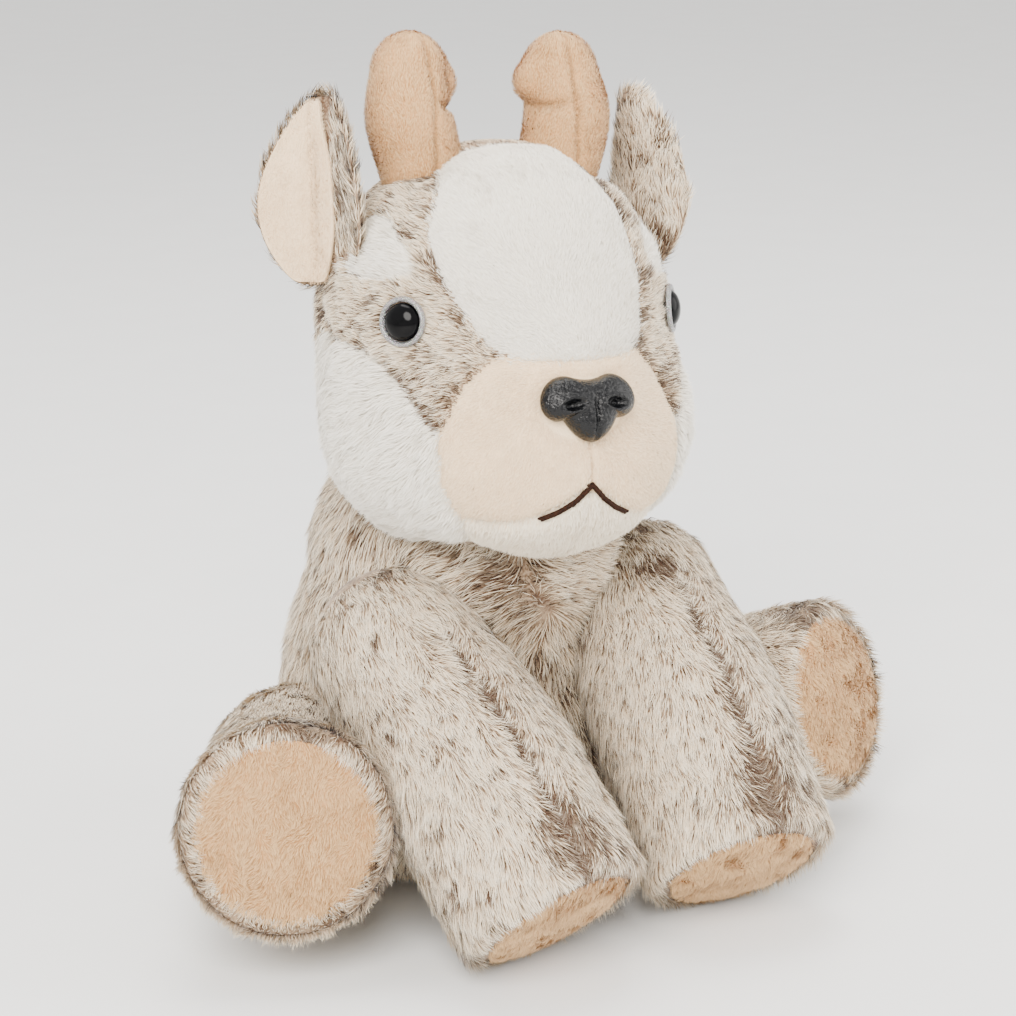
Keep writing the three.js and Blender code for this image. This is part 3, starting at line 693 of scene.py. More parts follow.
def makeTorso():
    sections = np.array(torso["sections"], dtype=float)
    angles = np.linspace(0, 2 * np.pi, torso["sides"], endpoint=False)
    rings = []
    for share in (0.0, 0.35, 0.7, 0.9):
        z, y, halfX, halfY = sections[0]
        rings.append((z, y, halfX * share + 0.5, halfY * share + 0.5))
    heights = np.linspace(0, 1, torso["rows"]) ** 1.15
    for t in heights:
        rings.append(tuple(evenSpline(sections[:, k], t) for k in range(4)))
    for turn in np.linspace(0, math.pi / 2 - 0.05, torso["domeRows"])[1:]:
        radius = neckRadius * math.cos(turn)
        rings.append((neckCentre[2] + neckRadius * math.sin(turn) * 0.97, -3, radius, radius))
    grid = np.array([np.stack([np.cos(angles) * hx, y + np.sin(angles) * hy, np.full(len(angles), z)], axis=1)
                     for z, y, hx, hy in rings])
    verts, faces = closedGrid(grid)
    # The back seam and the two side seams draw the cloth in a little.
    facing = np.degrees(np.arctan2(verts[:, 0], -(verts[:, 1] - 5)))
    seam = np.minimum(np.abs(np.abs(facing) - 180), np.abs(np.abs(facing) - 82))
    obj = meshObject("torsoSkin", verts, outwardFaces(verts, faces), clothMaterials["mottled"])
    low = verts[:, 2] < 3
    high = verts[:, 2] > 76
    pinned = np.where(low | high, 1.0, smoothstep(-seam, -6, -1.5) * 0.8)
    puffed(obj, pinned, 1.6, 0.0022)
    surface = surfaceOf(obj)
    declare(obj, "torso", ["torso_skin"])

    def keep(points, facing, extras):
        out = points[:, 2] > 1.0
        out &= ~((points[:, 2] > 112) & (np.linalg.norm(points[:, :2] - neckCentre[:2], axis=1) < 36))
        for side in (-1, 1):
            for leg in legs.values():
                out &= limbDistance(points, mirroredPath(leg["path"], side), leg["radii"]) > -3
        return out

    points, normals, _ = scatter(surface, torso["density"], keep)
    down = np.array([0.0, 0, -1]) + points * [0.004, 0.004, 0] + noiseVector(points, 22, 40) * 0.9
    # The nap swirls out from the middle of the chest and parts along the back seam.
    fromMiddle = np.stack([points[:, 0], np.zeros(len(points)), points[:, 2] - 66], axis=1)
    front = smoothstep(-points[:, 1], 10, 36)[:, None]
    combs = down + unit(fromMiddle) * front * 0.9
    patches = noise(points, 6, 21) * 0.5 + noise(points, 2.6, 22) * 0.5
    chance = 0.07 + 0.62 * smoothstep(patches, 0.58, 0.78)
    collar = smoothstep(points[:, 2], 88, 104) * smoothstep(-points[:, 1], 5, 30)
    chance = chance + 0.3 * collar * smoothstep(noise(points, 9, 23), 0.4, 0.7)
    # More brown strands low on the front of the torso, between the front legs: painted shade.
    below = smoothstep(-points[:, 2], -66, -52) * smoothstep(-points[:, 1], 18, 34)
    tones = flecked(points, chance + 0.25 * below + 0.9 * tufted(points))
    lengths = torso["furLength"] * (1 - 0.45 * smoothstep(-points[:, 2], -14, -2))
    fur = growStrands("torsoFur", points, normals, combs, lengths, tones, strandMaterials["mottled"], width=0.25,
                      lift=0.3, clump=0.8, clumpSize=2.8)
    declare(fur, "torso")
    print("torso made")


def makeLeg(kind, side, sideName):
    leg = legs[kind]
    body = kind + "_" + sideName
    path = mirroredPath(leg["path"], side)
    rings, along, forwards = limbRings(path, leg["radii"], leg["flat"], endDepth=footDomeShare)
    rows, sides = rings.shape[:2]
    centres = rings.mean(axis=1, keepdims=True)
    outward = unit(rings - centres)
    # The middle seam along the top of the leg draws in, and so does the seam round the sole.
    upward = outward @ np.array([0.0, -0.35, 1.0]) if kind == "front_leg" else outward @ np.array([-0.3 * side, 0, 1.0])
    crown = np.argmax(upward, axis=1)
    apart = (np.arange(sides)[None, :] - crown[:, None] + sides / 2) % sides - sides / 2
    radius = np.linalg.norm(rings - centres, axis=2)
    aside = apart * 2 * np.pi / sides * radius
    onTube = smoothstep(along, 0.06, 0.25) * (1 - smoothstep(along, 1.25, 1.5))
    if kind == "hind_leg":
        onTube = onTube * 0.5
    dent = 1.3 * np.exp(-(aside / 2.4) ** 2) * onTube[:, None]
    rim = radius - leg["sole"]
    atFoot = (along > 1)[:, None]
    dent = np.where(atFoot, dent + 0.9 * np.exp(-(rim / 1.3) ** 2), dent)
    shaped = rings - outward * dent[:, :, None]
    soleRows = np.where((along > 1) & (radius.mean(axis=1) < leg["sole"]))[0]
    firstSole = soleRows[0]
    skinGrid = shaped[:firstSole + 2]
    verts, faces = closedGrid(skinGrid)
    verts[-1] = skinGrid[-1].mean(axis=0)
    skin = meshObject(kind + "Skin_" + sideName, verts, outwardFaces(verts, faces), clothMaterials["mottled"])
    tube = np.append(np.repeat(along[:firstSole + 2], sides), [-2, 1.6])
    asideFlat = np.append(aside[:firstSole + 2].reshape(-1), [0, 0])
    pinned = np.clip(smoothstep(-tube, -0.14, 0.02) + smoothstep(tube, 0.98, 1.2)
                     + 0.9 * np.exp(-(asideFlat / 2.5) ** 2) * (kind == "front_leg"), 0, 1)
    puffed(skin, pinned, 1.4, 0.0014)
    found = surfaceOf(skin)
    forwardFlat = np.concatenate([np.repeat(forwards[:firstSole + 2], sides, axis=0), forwards[:1], forwards[-1:]])
    surface = (*found, np.column_stack([forwardFlat, tube, asideFlat]))
    declare(skin, body, [f"{kind}_skin_{sideName}"])

    soleGrid = shaped[firstSole:]
    soleVerts, soleFaces = closedGrid(soleGrid)
    sole = meshObject(kind + "Sole_" + sideName, soleVerts, outwardFaces(soleVerts, soleFaces), clothMaterials["tan"])
    declare(sole, body, [f"{kind}_sole_{sideName}"])
    soleSurface = surfaceOf(sole)
    forward = unit(forwards[-1])

    def onFace(points, facing, extras):
        return facing @ forward > 0.2

    points, normals, _ = scatter(soleSurface, 9.0, onFace)
    combs = np.cross(forward, [0.2, 0.1, 1.0]) * 0.5 + np.array([0, 0, -1.0]) + noiseVector(points, 4, 61) * 2.2
    tones = 0.12 + 0.22 * smoothstep(noise(points, 2.4, 60) * 0.5 + noise(points, 9, 62) * 0.5, 0.5, 0.75)
    tones += rng.uniform(-0.1, 0.25, len(points))
    fuzz = growStrands(kind + "SolePile_" + sideName, points, normals, combs, np.full(len(points), 2.0), tones,
                       strandMaterials["tan"], width=0.2, lift=0.5, clump=0.7, clumpSize=1.7)
    declare(fuzz, body)

    def keep(points, facing, extras):
        tubePlace = extras[:, 3]
        inside = (tubePlace > -1.2) & (tubePlace < along[firstSole] - 0.06)
        return inside & ~((tubePlace > 1) & (facing @ forward > 0.93)) & (points[:, 2] > 0.6)

    points, normals, extras = scatter(surface, leg["density"], keep)
    forward, tubePlace, asidePlace = unit(extras[:, :3]), extras[:, 3], extras[:, 4]
    sign = np.sign(asidePlace)[:, None]
    nearSeam = np.exp(-(asidePlace / 5.0) ** 2) * smoothstep(tubePlace, 0.02, 0.2)
    if kind == "hind_leg":
        nearSeam = nearSeam * smoothstep(tubePlace, 0.6, 1.0)
    outFromSeam = np.cross(normals, forward) * sign
    combs = forward * 0.8 + outFromSeam * seamSpread * nearSeam[:, None] + [0, 0, -0.25]
    combs = combs + noiseVector(points, 14, 50) * 0.7
    footTurn = smoothstep(tubePlace, 1.0, 1.35)[:, None]
    combs = combs * (1 - footTurn * 0.3) + (forward * 1.5 - normals * 0.3) * footTurn
    patches = noise(points, 2.2, 70) * 0.55 + noise(points, 7, 71) * 0.45
    chance = 0.05 + 0.75 * smoothstep(patches, 0.62, 0.78)
    wander = (noise(points, 9, 74) - 0.5) * 3
    line = np.exp(-((asidePlace - wander) / 2.8) ** 2) * smoothstep(tubePlace, 0.1, 0.3)
    tuft = np.exp(-((tubePlace - 0.88) / 0.11) ** 2 - (asidePlace / 8.0) ** 2)
    if kind == "hind_leg":
        line = line * smoothstep(tubePlace, 0.75, 1.0)
        tuft = np.exp(-((tubePlace - 1.08) / 0.16) ** 2 - (asidePlace / 8.0) ** 2)
    chance = chance + line * (0.5 + 0.9 * smoothstep(noise(points, 5, 72), 0.3, 0.5)) + tuft * 1.2
    chance = chance + 0.9 * tufted(points)
    rim = smoothstep(tubePlace, 1.05, 1.4)
    chance = chance + rim * 0.3 * smoothstep(noise(points, 5, 73), 0.5, 0.75)
    tones = flecked(points, chance)
    lengths = leg["furLength"] * (1 - 0.35 * nearSeam) * (1 - 0.3 * rim)
    fur = growStrands(kind + "Fur_" + sideName, points, normals, combs, lengths, tones, strandMaterials["mottled"],
                      width=0.24, lift=0.3, clump=0.8, clumpSize=2.6)
    declare(fur, body)
    print(body, "made")


def makeTail():
    path, radii = [(0, 48, 38), (0, 59, 43), (0, 63, 55)], [8, 7.4, 5]
    rings, along, forwards = limbRings(path, radii, rows=16, sides=28, capRows=5)
    verts, faces = closedGrid(rings)
    skin = meshObject("tailSkin", verts, outwardFaces(verts, faces), clothMaterials["mottled"])
    found = surfaceOf(skin)
    forwardFlat = np.concatenate([np.repeat(forwards, rings.shape[1], axis=0), forwards[:1], forwards[-1:]])
    declare(skin, "tail", ["tail_skin"])
    points, normals, extras = scatter((*found, forwardFlat), 4.0, lambda p, n, e: p[:, 1] > 50)
    tones = flecked(points, 0.08 + 0.5 * smoothstep(noise(points, 4, 80), 0.5, 0.75))
    fur = growStrands("tailFur", points, normals, extras + noiseVector(points, 6, 81) * 0.5,
                      np.full(len(points), 6.0), tones, strandMaterials["mottled"], width=0.32, lift=0.4)
    declare(fur, "tail")
    print("tail made")


makeTorso()
makeTail()
for side, sideName in ((-1, "right"), (1, "left")):
    makeLeg("front_leg", side, sideName)
    makeLeg("hind_leg", side, sideName)


headLumps = [([0, -17, 145.5], [45, 44, 48.5]), ([21.5, -28, 123.5], [26, 31, 27.5]),
             ([-21.5, -28, 123.5], [26, 31, 27.5]), ([0, -50, 117.5], [31, 22.5, 22.5]),
             ([0, -45, 140], [22, 22.5, 19])]
lumpBlend = 9.0
browDrift = 9.0
seams = {
    "muzzle": [[29, 7], [40, -3], [44, -17], [43, -28], [38, -37]],
    "mouth": [[22, -35.5], [12, -32.5], [0, -25]],
    "chin": [[38, -37], [35, -48], [20, -58], [0, -60]],
    "blaze": [[29, 7], [40, 26], [52, 45], [61, 64], [100, 77]],
    "brow": [[49, 31], [66, 27], [86, 25], [95, 34], [87, 47], [66, 45]],
    "eye": [[29, 7], [40, 26], [52, 45], [61, 64], [96, 60], [108, 38], [106, 16], [97, 6], [71, 5], [54, -5],
            [44, -17], [40, -3]],
    "cheek": [[44, -17], [54, -5], [71, 5], [97, 6], [116, 2], [126, -28], [120, -56], [70, -66], [35, -48],
              [38, -37], [43, -28]],
}


def headDistance(points):
    total = None
    for centre, radii in headLumps:
        q = points - np.array(centre, dtype=float)
        k0 = np.linalg.norm(q / radii, axis=1)
        k1 = np.linalg.norm(q / np.square(np.array(radii, dtype=float)), axis=1)
        d = k0 * (k0 - 1) / np.maximum(k1, 1e-9)
        if total is None:
            total = d
        else:
            h = np.maximum(lumpBlend - np.abs(total - d), 0) / lumpBlend
            total = np.minimum(total, d) - h * h * lumpBlend / 4
    return total


def towards(azimuth, elevation):
    a, e = np.radians(azimuth), np.radians(elevation)
    return np.stack([np.sin(a) * np.cos(e), -np.cos(a) * np.cos(e), np.sin(e) + 0 * a], axis=-1)


def headPoints(directions, offset=0.0):
    low, high = np.full(len(directions), 8.0), np.full(len(directions), 90.0)
    for _ in range(34):
        middle = (low + high) / 2
        outside = headDistance(headCentre + directions * middle[:, None]) > offset
        high = np.where(outside, middle, high)
        low = np.where(outside, low, middle)
    return headCentre + directions * low[:, None]


def headNormals(points):
    step = 0.4
    slope = [headDistance(points + step * np.eye(3)[k]) - headDistance(points - step * np.eye(3)[k]) for k in range(3)]
    return unit(np.stack(slope, axis=1))


def otherSide(outline):
    return [[-a, e] for a, e in outline]


def bothSides(outline):
    return outline + [[-a, e] for a, e in outline[::-1] if a != 0]


# The outline with its corners cut twice, and the lean of the blaze.
def softened(outline):
    points = np.array(outline, dtype=float)
    for _ in range(2):
        after = np.roll(points, -1, axis=0)
        points = np.stack([points * 0.75 + after * 0.25, points * 0.25 + after * 0.75], axis=1).reshape(-1, 2)
    points[:, 0] -= browDrift * np.clip((points[:, 1] - 10) / 30, 0, 1)
    return points


# Degrees inside an outline of directions, negative outside.
def insideBy(azimuth, elevation, outline):
    narrow = np.cos(np.radians(elevation)).clip(0.2, 1)
    best = np.full(len(azimuth), 1e9)
    crossings = np.zeros(len(azimuth), dtype=bool)
    for (ax, ay), (bx, by) in zip(outline, np.roll(outline, -1, axis=0)):
        ex, ey = bx - ax, by - ay
        px, py = azimuth - ax, elevation - ay
        t = np.clip((px * ex + py * ey) / max(ex * ex + ey * ey, 1e-9), 0, 1)
        best = np.minimum(best, np.hypot((px - t * ex) * narrow, py - t * ey))
        straddle = (ay > elevation) != (by > elevation)
        with np.errstate(divide="ignore", invalid="ignore"):
            left = azimuth < ex * (elevation - ay) / (ey if ey else 1e-9) + ax
        crossings ^= straddle & left
    return np.where(crossings, best, -best)


panelOutlines = {
    "muzzle": bothSides(seams["muzzle"] + seams["mouth"]),
    "chin": bothSides(seams["chin"][::-1] + seams["mouth"]),
    "forehead": bothSides(seams["blaze"]),
    "brow_left": seams["brow"], "brow_right": otherSide(seams["brow"]),
    "eye_left": seams["eye"], "eye_right": otherSide(seams["eye"]),
    "cheek_left": seams["cheek"], "cheek_right": otherSide(seams["cheek"]),
}
panelNames = list(panelOutlines) + ["back"]
panelLooks = {"muzzle": "cream", "chin": "chin", "forehead": "white", "brow_left": "white", "brow_right": "white",
              "cheek_left": "white", "cheek_right": "white", "eye_left": "mottled", "eye_right": "mottled",
              "back": "mottled"}


# Which panel each point of the head is on, and how far it is from the nearest seam, in millimetres.
def panelsAt(points):
    d = unit(points - headCentre)
    azimuth = np.degrees(np.arctan2(d[:, 0], -d[:, 1]))
    elevation = np.degrees(np.arcsin(np.clip(d[:, 2], -1, 1)))
    depths = [insideBy(azimuth, elevation, softened(outline)) for outline in panelOutlines.values()]
    # The blaze runs over the top of the head between the horns.
    overTop = np.minimum(0.34 - np.abs(d[:, 0] + 0.04), 0.02 - d[:, 1]) * 57
    forehead = panelNames.index("forehead")
    depths[forehead] = np.where(elevation > 58, np.maximum(depths[forehead], overTop), depths[forehead])
    for side in ("left", "right"):
        brow = depths[panelNames.index("brow_" + side)]
        eye = panelNames.index("eye_" + side)
        depths[eye] = np.where(brow > 0, -brow, depths[eye])
    depths.append(np.where(elevation > 8, -1.2, -2.2) * np.ones(len(points)))
    stack = np.array(depths)
    order = np.sort(stack, axis=0)
    which = np.argmax(stack, axis=0)
    apart = (order[-1] - order[-2]) / 2 * 0.8
    return which, apart


eyeSeats = {}
for eyeSide, eyeName in ((-1, "right"), (1, "left")):
    seat = headPoints(towards(np.array([eyeSide * 61.0]), np.array([16.0])), 0.7)[0]
    eyeSeats[eyeName] = dict(seat=seat, outward=unit(np.array([eyeSide * 0.8, -0.59, 0.13])))
nosePoint = headPoints(towards(np.array([0.0]), np.array([-7.0])))[0]
neckLocal = headMatrix.T @ (neckCentre - headCentre) + headCentre


def makeHead():
    rows, sides = ((190, 260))
    elevation = np.linspace(-89.4, 89.4, rows)
    azimuth = np.linspace(-180, 180, sides, endpoint=False)
    grid = towards(*np.meshgrid(azimuth, elevation)).reshape(-1, 3)
    verts = headPoints(grid)
    normals = headNormals(verts)
    apart = panelsAt(verts)[1]
    verts = verts - normals * (0.9 * np.exp(-(apart / 1.3) ** 2))[:, None]
    verts += normals * ((noise(verts, 13, 90) - 0.5) * 1.5 + (noise(verts, 5, 91) - 0.5) * 0.3)[:, None]
    for eye in eyeSeats.values():
        away = np.linalg.norm(verts - eye["seat"], axis=1)
        verts -= normals * (1.1 * np.exp(-(away / 7.0) ** 2))[:, None]
    away = np.linalg.norm((verts - nosePoint) * [1, 1, 1.3], axis=1)
    verts -= normals * (0.7 * np.exp(-((away - 12) / 3.5) ** 2))[:, None]
    verts -= normals * (0.6 * np.exp(-(verts[:, 0] / 0.8) ** 2) * smoothstep(nosePoint[2] - verts[:, 2], 6, 9)
                        * smoothstep(-verts[:, 1], 50, 62))[:, None]
    # The underside rests round the neck in a hollow.
    ray = unit(verts - headCentre)
    toNeck = neckLocal - headCentre
    middle = ray @ toNeck
    under = middle ** 2 - toNeck @ toNeck + (neckRadius + 0.5) ** 2
    near = middle - np.sqrt(np.maximum(under, 0))
    cut = (under > 0) & (middle > 0) & (near < np.linalg.norm(verts - headCentre, axis=1))
    verts = np.where(cut[:, None], headCentre + ray * near[:, None], verts)
    faces = gridFaces(rows, sides)
    bottom, top = rows * sides, rows * sides + 1
    verts = np.concatenate([verts, verts[:sides].mean(axis=0)[None], verts[-sides:].mean(axis=0)[None]])
    around = np.arange(sides)
    caps = np.concatenate([np.stack([np.full(sides, bottom), (around + 1) % sides, around], axis=1),
                           np.stack([np.full(sides, top), (rows - 1) * sides + around,
                                     (rows - 1) * sides + (around + 1) % sides], axis=1)])
    centres = np.concatenate([verts[faces].mean(axis=1), verts[caps].mean(axis=1)])
    owner = panelsAt(centres)[0]
    owner[np.linalg.norm(centres - neckLocal, axis=1) < neckRadius + 1.0] = panelNames.index("back")
    allFaces = faces.tolist() + caps.tolist()
    placed = placeHead(verts)
    whole = meshObject("wholeHead", placed, allFaces)
    surface = surfaceOf(whole)
    bpy.data.objects.remove(whole)
    nodeNames = {"muzzle": "muzzle_panel", "chin": "chin_panel", "forehead": "forehead_panel",
                 "back": "head_back_panel"}
    for number, panel in enumerate(panelNames):
        chosen = [face for face, own in zip(allFaces, owner) if own == number]
        used = np.unique([v for face in chosen for v in face])
        renumber = {old: new for new, old in enumerate(used.tolist())}
        part = meshObject(panel + "Cloth", placed[used], [[renumber[v] for v in face] for face in chosen],
                          clothMaterials[panelLooks[panel]])
        thick = part.modifiers.new("thickness", "SOLIDIFY")
        thick.thickness = 0.0006
        thick.offset = -1
        kind, _, sideName = panel.partition("_")
        declare(part, "head",
                [nodeNames.get(panel, f"{kind}_panel_{sideName}")])
    growHeadFur(surface)
    print("head made")


def growHeadFur(surface):
    def keep(points, facing, extras):
        clear = np.linalg.norm(points - neckCentre, axis=1) > neckRadius + 1.6
        for eye in eyeSeats.values():
            centre = placeHead(eye["seat"][None])[0]
            below = smoothstep(centre[2] - points[:, 2], 0, 4)
            clear &= np.linalg.norm(points - centre, axis=1) > 5.8 - 1.3 * below
        nose = placeHead(nosePoint[None])[0]
        flat = (points - nose) / [11.3, 14, 7.2]
        return clear & (np.linalg.norm(flat, axis=1) > 1)

    looks = {
        "forehead": dict(density=9.0, length=2.4, width=0.19, lift=0.36),
        "muzzle": dict(density=10.0, length=1.3, width=0.16, lift=0.5),
        "chin": dict(density=9.0, length=2.0, width=0.18, lift=0.42),
        "brow": dict(density=7.0, length=4.0, width=0.22, lift=0.34),
        "cheek": dict(density=6.0, length=4.4, width=0.24, lift=0.34),
        "eye": dict(density=8.0, length=3.8, width=0.2, lift=0.34),
        "back": dict(density=4.2, length=5.0, width=0.25, lift=0.3),
    }
    for kind, look in looks.items():
        members = [i for i, name in enumerate(panelNames) if name.partition("_")[0] == kind]

        def chosen(points, facing, extras):
            kept = keep(points, facing, extras)
            blurred = unplaceHead(points[kept]) + rng.normal(0, 0.8 if look["length"] < 3 else 0.5, (kept.sum(), 3))
            kept[kept] = np.isin(panelsAt(blurred)[0], members)
            return kept

        points, normals, _ = scatter(surface, look["density"], chosen)
        flat = unplaceHead(points)
        seam = panelsAt(flat)[1]
        fromNose = flat - (nosePoint + [0, 6, 2])
        behind = smoothstep(flat[:, 1], -30, 5)[:, None]
        combs = unit(fromNose) * (1 - 0.55 * behind) + np.array([0, 0.25, -0.8]) * behind
        if kind in ("cheek", "chin"):
            combs = combs + [0, 0.1, -0.45]
        if kind == "eye":
            combs = combs + unit(flat * [1, 0, 0]) * 0.35
        combs = combs @ headMatrix.T + noiseVector(points, 12, 100) * 0.5
        lengths = look["length"] * (0.72 + 0.28 * smoothstep(seam, 0.3, 3.0))
        patches = noise(points, 2.4, 110) * 0.5 + noise(points, 6.5, 111) * 0.5
        if panelLooks[panelNames[members[0]]] == "mottled":
            chance = 0.1 + 0.55 * smoothstep(patches, 0.56, 0.76)
            for eye in eyeSeats.values():
                away = np.linalg.norm(flat - eye["seat"] - [0, -9, -14], axis=1)
                chance = chance + 0.3 * np.exp(-(away / 11) ** 2) * smoothstep(patches, 0.35, 0.6)
            chance = chance + 0.9 * np.exp(-(seam / 1.6) ** 2) * smoothstep(noise(points, 3.0, 112), 0.45, 0.62)
            tones = flecked(points, chance)
        else:
            tones = 0.05 + 0.3 * smoothstep(patches, 0.6, 0.85) + 0.2 * np.exp(-(seam / 0.4) ** 2)
            lip = np.exp(-(flat[:, 0] / 0.45) ** 2) * smoothstep(nosePoint[2] - flat[:, 2], 7, 9)
            tones = tones + 0.7 * lip * (kind == "muzzle")
            tones = tones + rng.uniform(-0.05, 0.12, len(points))
        if kind == "back":
            lengths = lengths * (1 - 0.78 * smoothstep(flat[:, 2], 174, 184))
        name = panelLooks[panelNames[members[0]]]
        fur = growStrands(kind + "Pile", points, normals, combs, lengths, tones, strandMaterials[name],
                          width=look["width"], lift=look["lift"], clump=0.8 if look["length"] > 3 else 0.35,
                          clumpSize=2.6 if look["length"] > 3 else 1.6, droop=0.05)
        declare(fur, "head")


makeHead()


def makeNose():
    outward = unit(np.array([0, -0.93, 0.37]))
    across = np.array([1.0, 0, 0])
    up = np.cross(outward, across)
    seat = headPoints(towards(np.array([0.0]), np.array([-7.0])), 0.2)[0]
    half = [(0, -7.75), (3, -7.75), (5.5, -4.5), (6.5, -2.2), (8.5, -3.4), (12, -1.5), (12, 1.6), (12, 5), (9, 7.75),
            (5.5, 7.75), (2.75, 6.6), (0, 6.55)]
    outline = []
    for p0, p1, p2, p3 in (half[0:4], half[3:7], half[6:10]):
        for t in np.linspace(0, 1, 18, endpoint=False):
            outline.append((1 - t) ** 3 * np.array(p0) + 3 * (1 - t) ** 2 * t * np.array(p1)
                           + 3 * (1 - t) * t * t * np.array(p2) + t ** 3 * np.array(p3))
    for t in np.linspace(0, 1, 10):
        outline.append(np.array(half[9]) * (1 - t) ** 2 + 2 * (1 - t) * t * np.array(half[10])
                       + t * t * np.array(half[11]))
    right = np.array(outline) * noseGrowth
    ring = np.concatenate([right, (right * [-1, 1])[::-1][1:-1]])
    for _ in range(2):
        ring = (np.roll(ring, 1, axis=0) + ring * 2 + np.roll(ring, -1, axis=0)) / 4
    levels = np.linspace(0.02, 1, 34)
    rings = []
    for level in levels:
        x, y = ring[:, 0] * level, ring[:, 1] * level + 0.9 * (1 - level)
        height = 5.0 * (1 - level ** 4) ** 0.5 * (1 - 0.16 * (y / 7.75) ** 2 - 0.18 * (np.abs(x) / 12) ** 2)
        height -= 0.9 * np.exp(-(x / 0.55) ** 2) * smoothstep(-y, -3.5, 0.5)
        nostril = np.hypot((np.abs(x) - 5.9 - 0.35 * (y - 0.6)) / 2.3, (y - 0.4 + 0.16 * (np.abs(x) - 6)) / 1.15)
        height -= 1.9 * np.exp(-nostril ** 2.4)
        height += 0.35 * np.exp(-((nostril - 1.6) / 0.4) ** 2)
        rings.append(seat + np.outer(x, across) + np.outer(y, up) + np.outer(height, outward))
    for share, depth in ((0.985, 0.7), (0.95, 1.5), (0.9, 2.4)):
        rings.append(seat + np.outer(ring[:, 0] * share, across) + np.outer(ring[:, 1] * share, up) - outward * depth)
    verts, faces = closedGrid(np.array(rings))
    nose = meshObject("nosePlastic", placeHead(verts), outwardFaces(verts, faces), makeLeather())
    declare(nose, "head", ["nose"])
    print("nose made")


def turned(profile, seat, outward, sides=64):
    aside = unit(np.cross(outward, [0, 0, 1.0]))
    other = np.cross(outward, aside)
    angles = np.linspace(0, 2 * np.pi, sides, endpoint=False)
    spread = np.outer(np.cos(angles), aside) + np.outer(np.sin(angles), other)
    return np.array([seat + spread * r + outward * h for r, h in profile])


def makeEye(name, pupilMaterial, glitterMaterial):
    seat, outward = eyeSeats[name]["seat"], eyeSeats[name]["outward"]
    dome = [(4.7 * math.sin(t), 0.3 + 2.8 * math.cos(t)) for t in np.linspace(0.04, math.pi / 2, 18)]
    verts, faces = closedGrid(turned(dome + [(4.65, -0.3), (1.7, -0.6), (1.6, -9.5)], seat, outward))
    pupil = meshObject("pupil_" + name, placeHead(verts), outwardFaces(verts, faces), pupilMaterial)
    declare(pupil, "head", ["eye_" + name])
    arc = [(5.55 + 0.75 * math.cos(t), 0.5 + 0.85 * math.sin(t)) for t in np.linspace(-0.6, math.pi + 0.5, 16)]
    sides = 64
    verts, faces = closedGrid(turned(arc, seat, outward, sides))
    faces = faces[:-2 * sides]
    last = (len(arc) - 1) * sides
    faces += [[last + s, last + (s + 1) % sides, (s + 1) % sides, s] for s in range(sides)]
    ring = meshObject("eyeRing_" + name, placeHead(verts[:-2]), outwardFaces(verts, faces), glitterMaterial)
    declare(ring, "head", ["eye_ring_" + name])


def makeMouth():
    half = [[4.5, -28.7], [9, -31.3], [13, -33]]
    stops = np.array(otherSide(half)[::-1] + [[0, -25]] + half, dtype=float)
    count = 46
    places = np.linspace(0, len(stops) - 1, count)
    lower = np.minimum(places.astype(int), len(stops) - 2)
    mixed = stops[lower] + (stops[lower + 1] - stops[lower]) * (places - lower)[:, None]
    points = headPoints(towards(mixed[:, 0], mixed[:, 1]), 0.1)
    normals = headNormals(points)
    ahead = unit(np.roll(points, -1, axis=0) - points)
    ahead[-1] = ahead[-2]
    verts, faces = [], []
    for i, (point, normal, forward) in enumerate(zip(points, normals, ahead)):
        lean = 0.32 if i % 2 else -0.32
        aside = np.cross(normal, forward)
        along = unit(forward + aside * lean)
        across = np.cross(normal, along)
        rings = []
        for t in np.linspace(0.12, math.pi - 0.12, 9):
            ringPoints = [point + along * (-1.7 * math.cos(t)) + (across * 0.5 * math.cos(a)
                          + normal * 0.62 * math.sin(a)) * math.sin(t) for a in np.linspace(0, 2 * math.pi, 10)[:-1]]
            rings.append(ringPoints)
        stitch, stitchFaces = closedGrid(np.array(rings))
        stitchFaces = outwardFaces(stitch, stitchFaces)
        start = sum(len(part) for part in verts)
        verts.append(stitch)
        faces += [[v + start for v in face] for face in stitchFaces]
    thread = meshObject("mouthStitches", placeHead(np.concatenate(verts)), faces, makeThread())
    declare(thread, "head", ["mouth_thread"])
    print("mouth made")


makeNose()
pupilMaterial, glitterMaterial = makePupil(), makeGlitter()
for eyeName in eyeSeats:
    makeEye(eyeName, pupilMaterial, glitterMaterial)
makeMouth()


horn = {"stem": [(19.5, -12, 187), (22.5, -10, 200), (21.5, -7, 211)], "stemRadii": [10.4, 10.8, 9.4],
        "hook": [(19.5, -7, 211), (17, -7, 210), (14.5, -7, 208)], "hookRadii": [7.6, 6.8, 5.6]}


# How deep each point is in the crease where the hook turns in, and in the seam down the front.
def hornCreases(flat, side):
    crease = np.exp(-((flat[:, 2] - 203.5 - 0.35 * (np.abs(flat[:, 0]) - 17)) / 1.3) ** 2)
    crease *= smoothstep(20.5 - np.abs(flat[:, 0]), 0, 5) * smoothstep(-flat[:, 1], 2, 14)
    seam = np.exp(-((flat[:, 0] - 20.0 * side) / 0.8) ** 2) * smoothstep(-flat[:, 1], 8, 16)
    return crease, seam


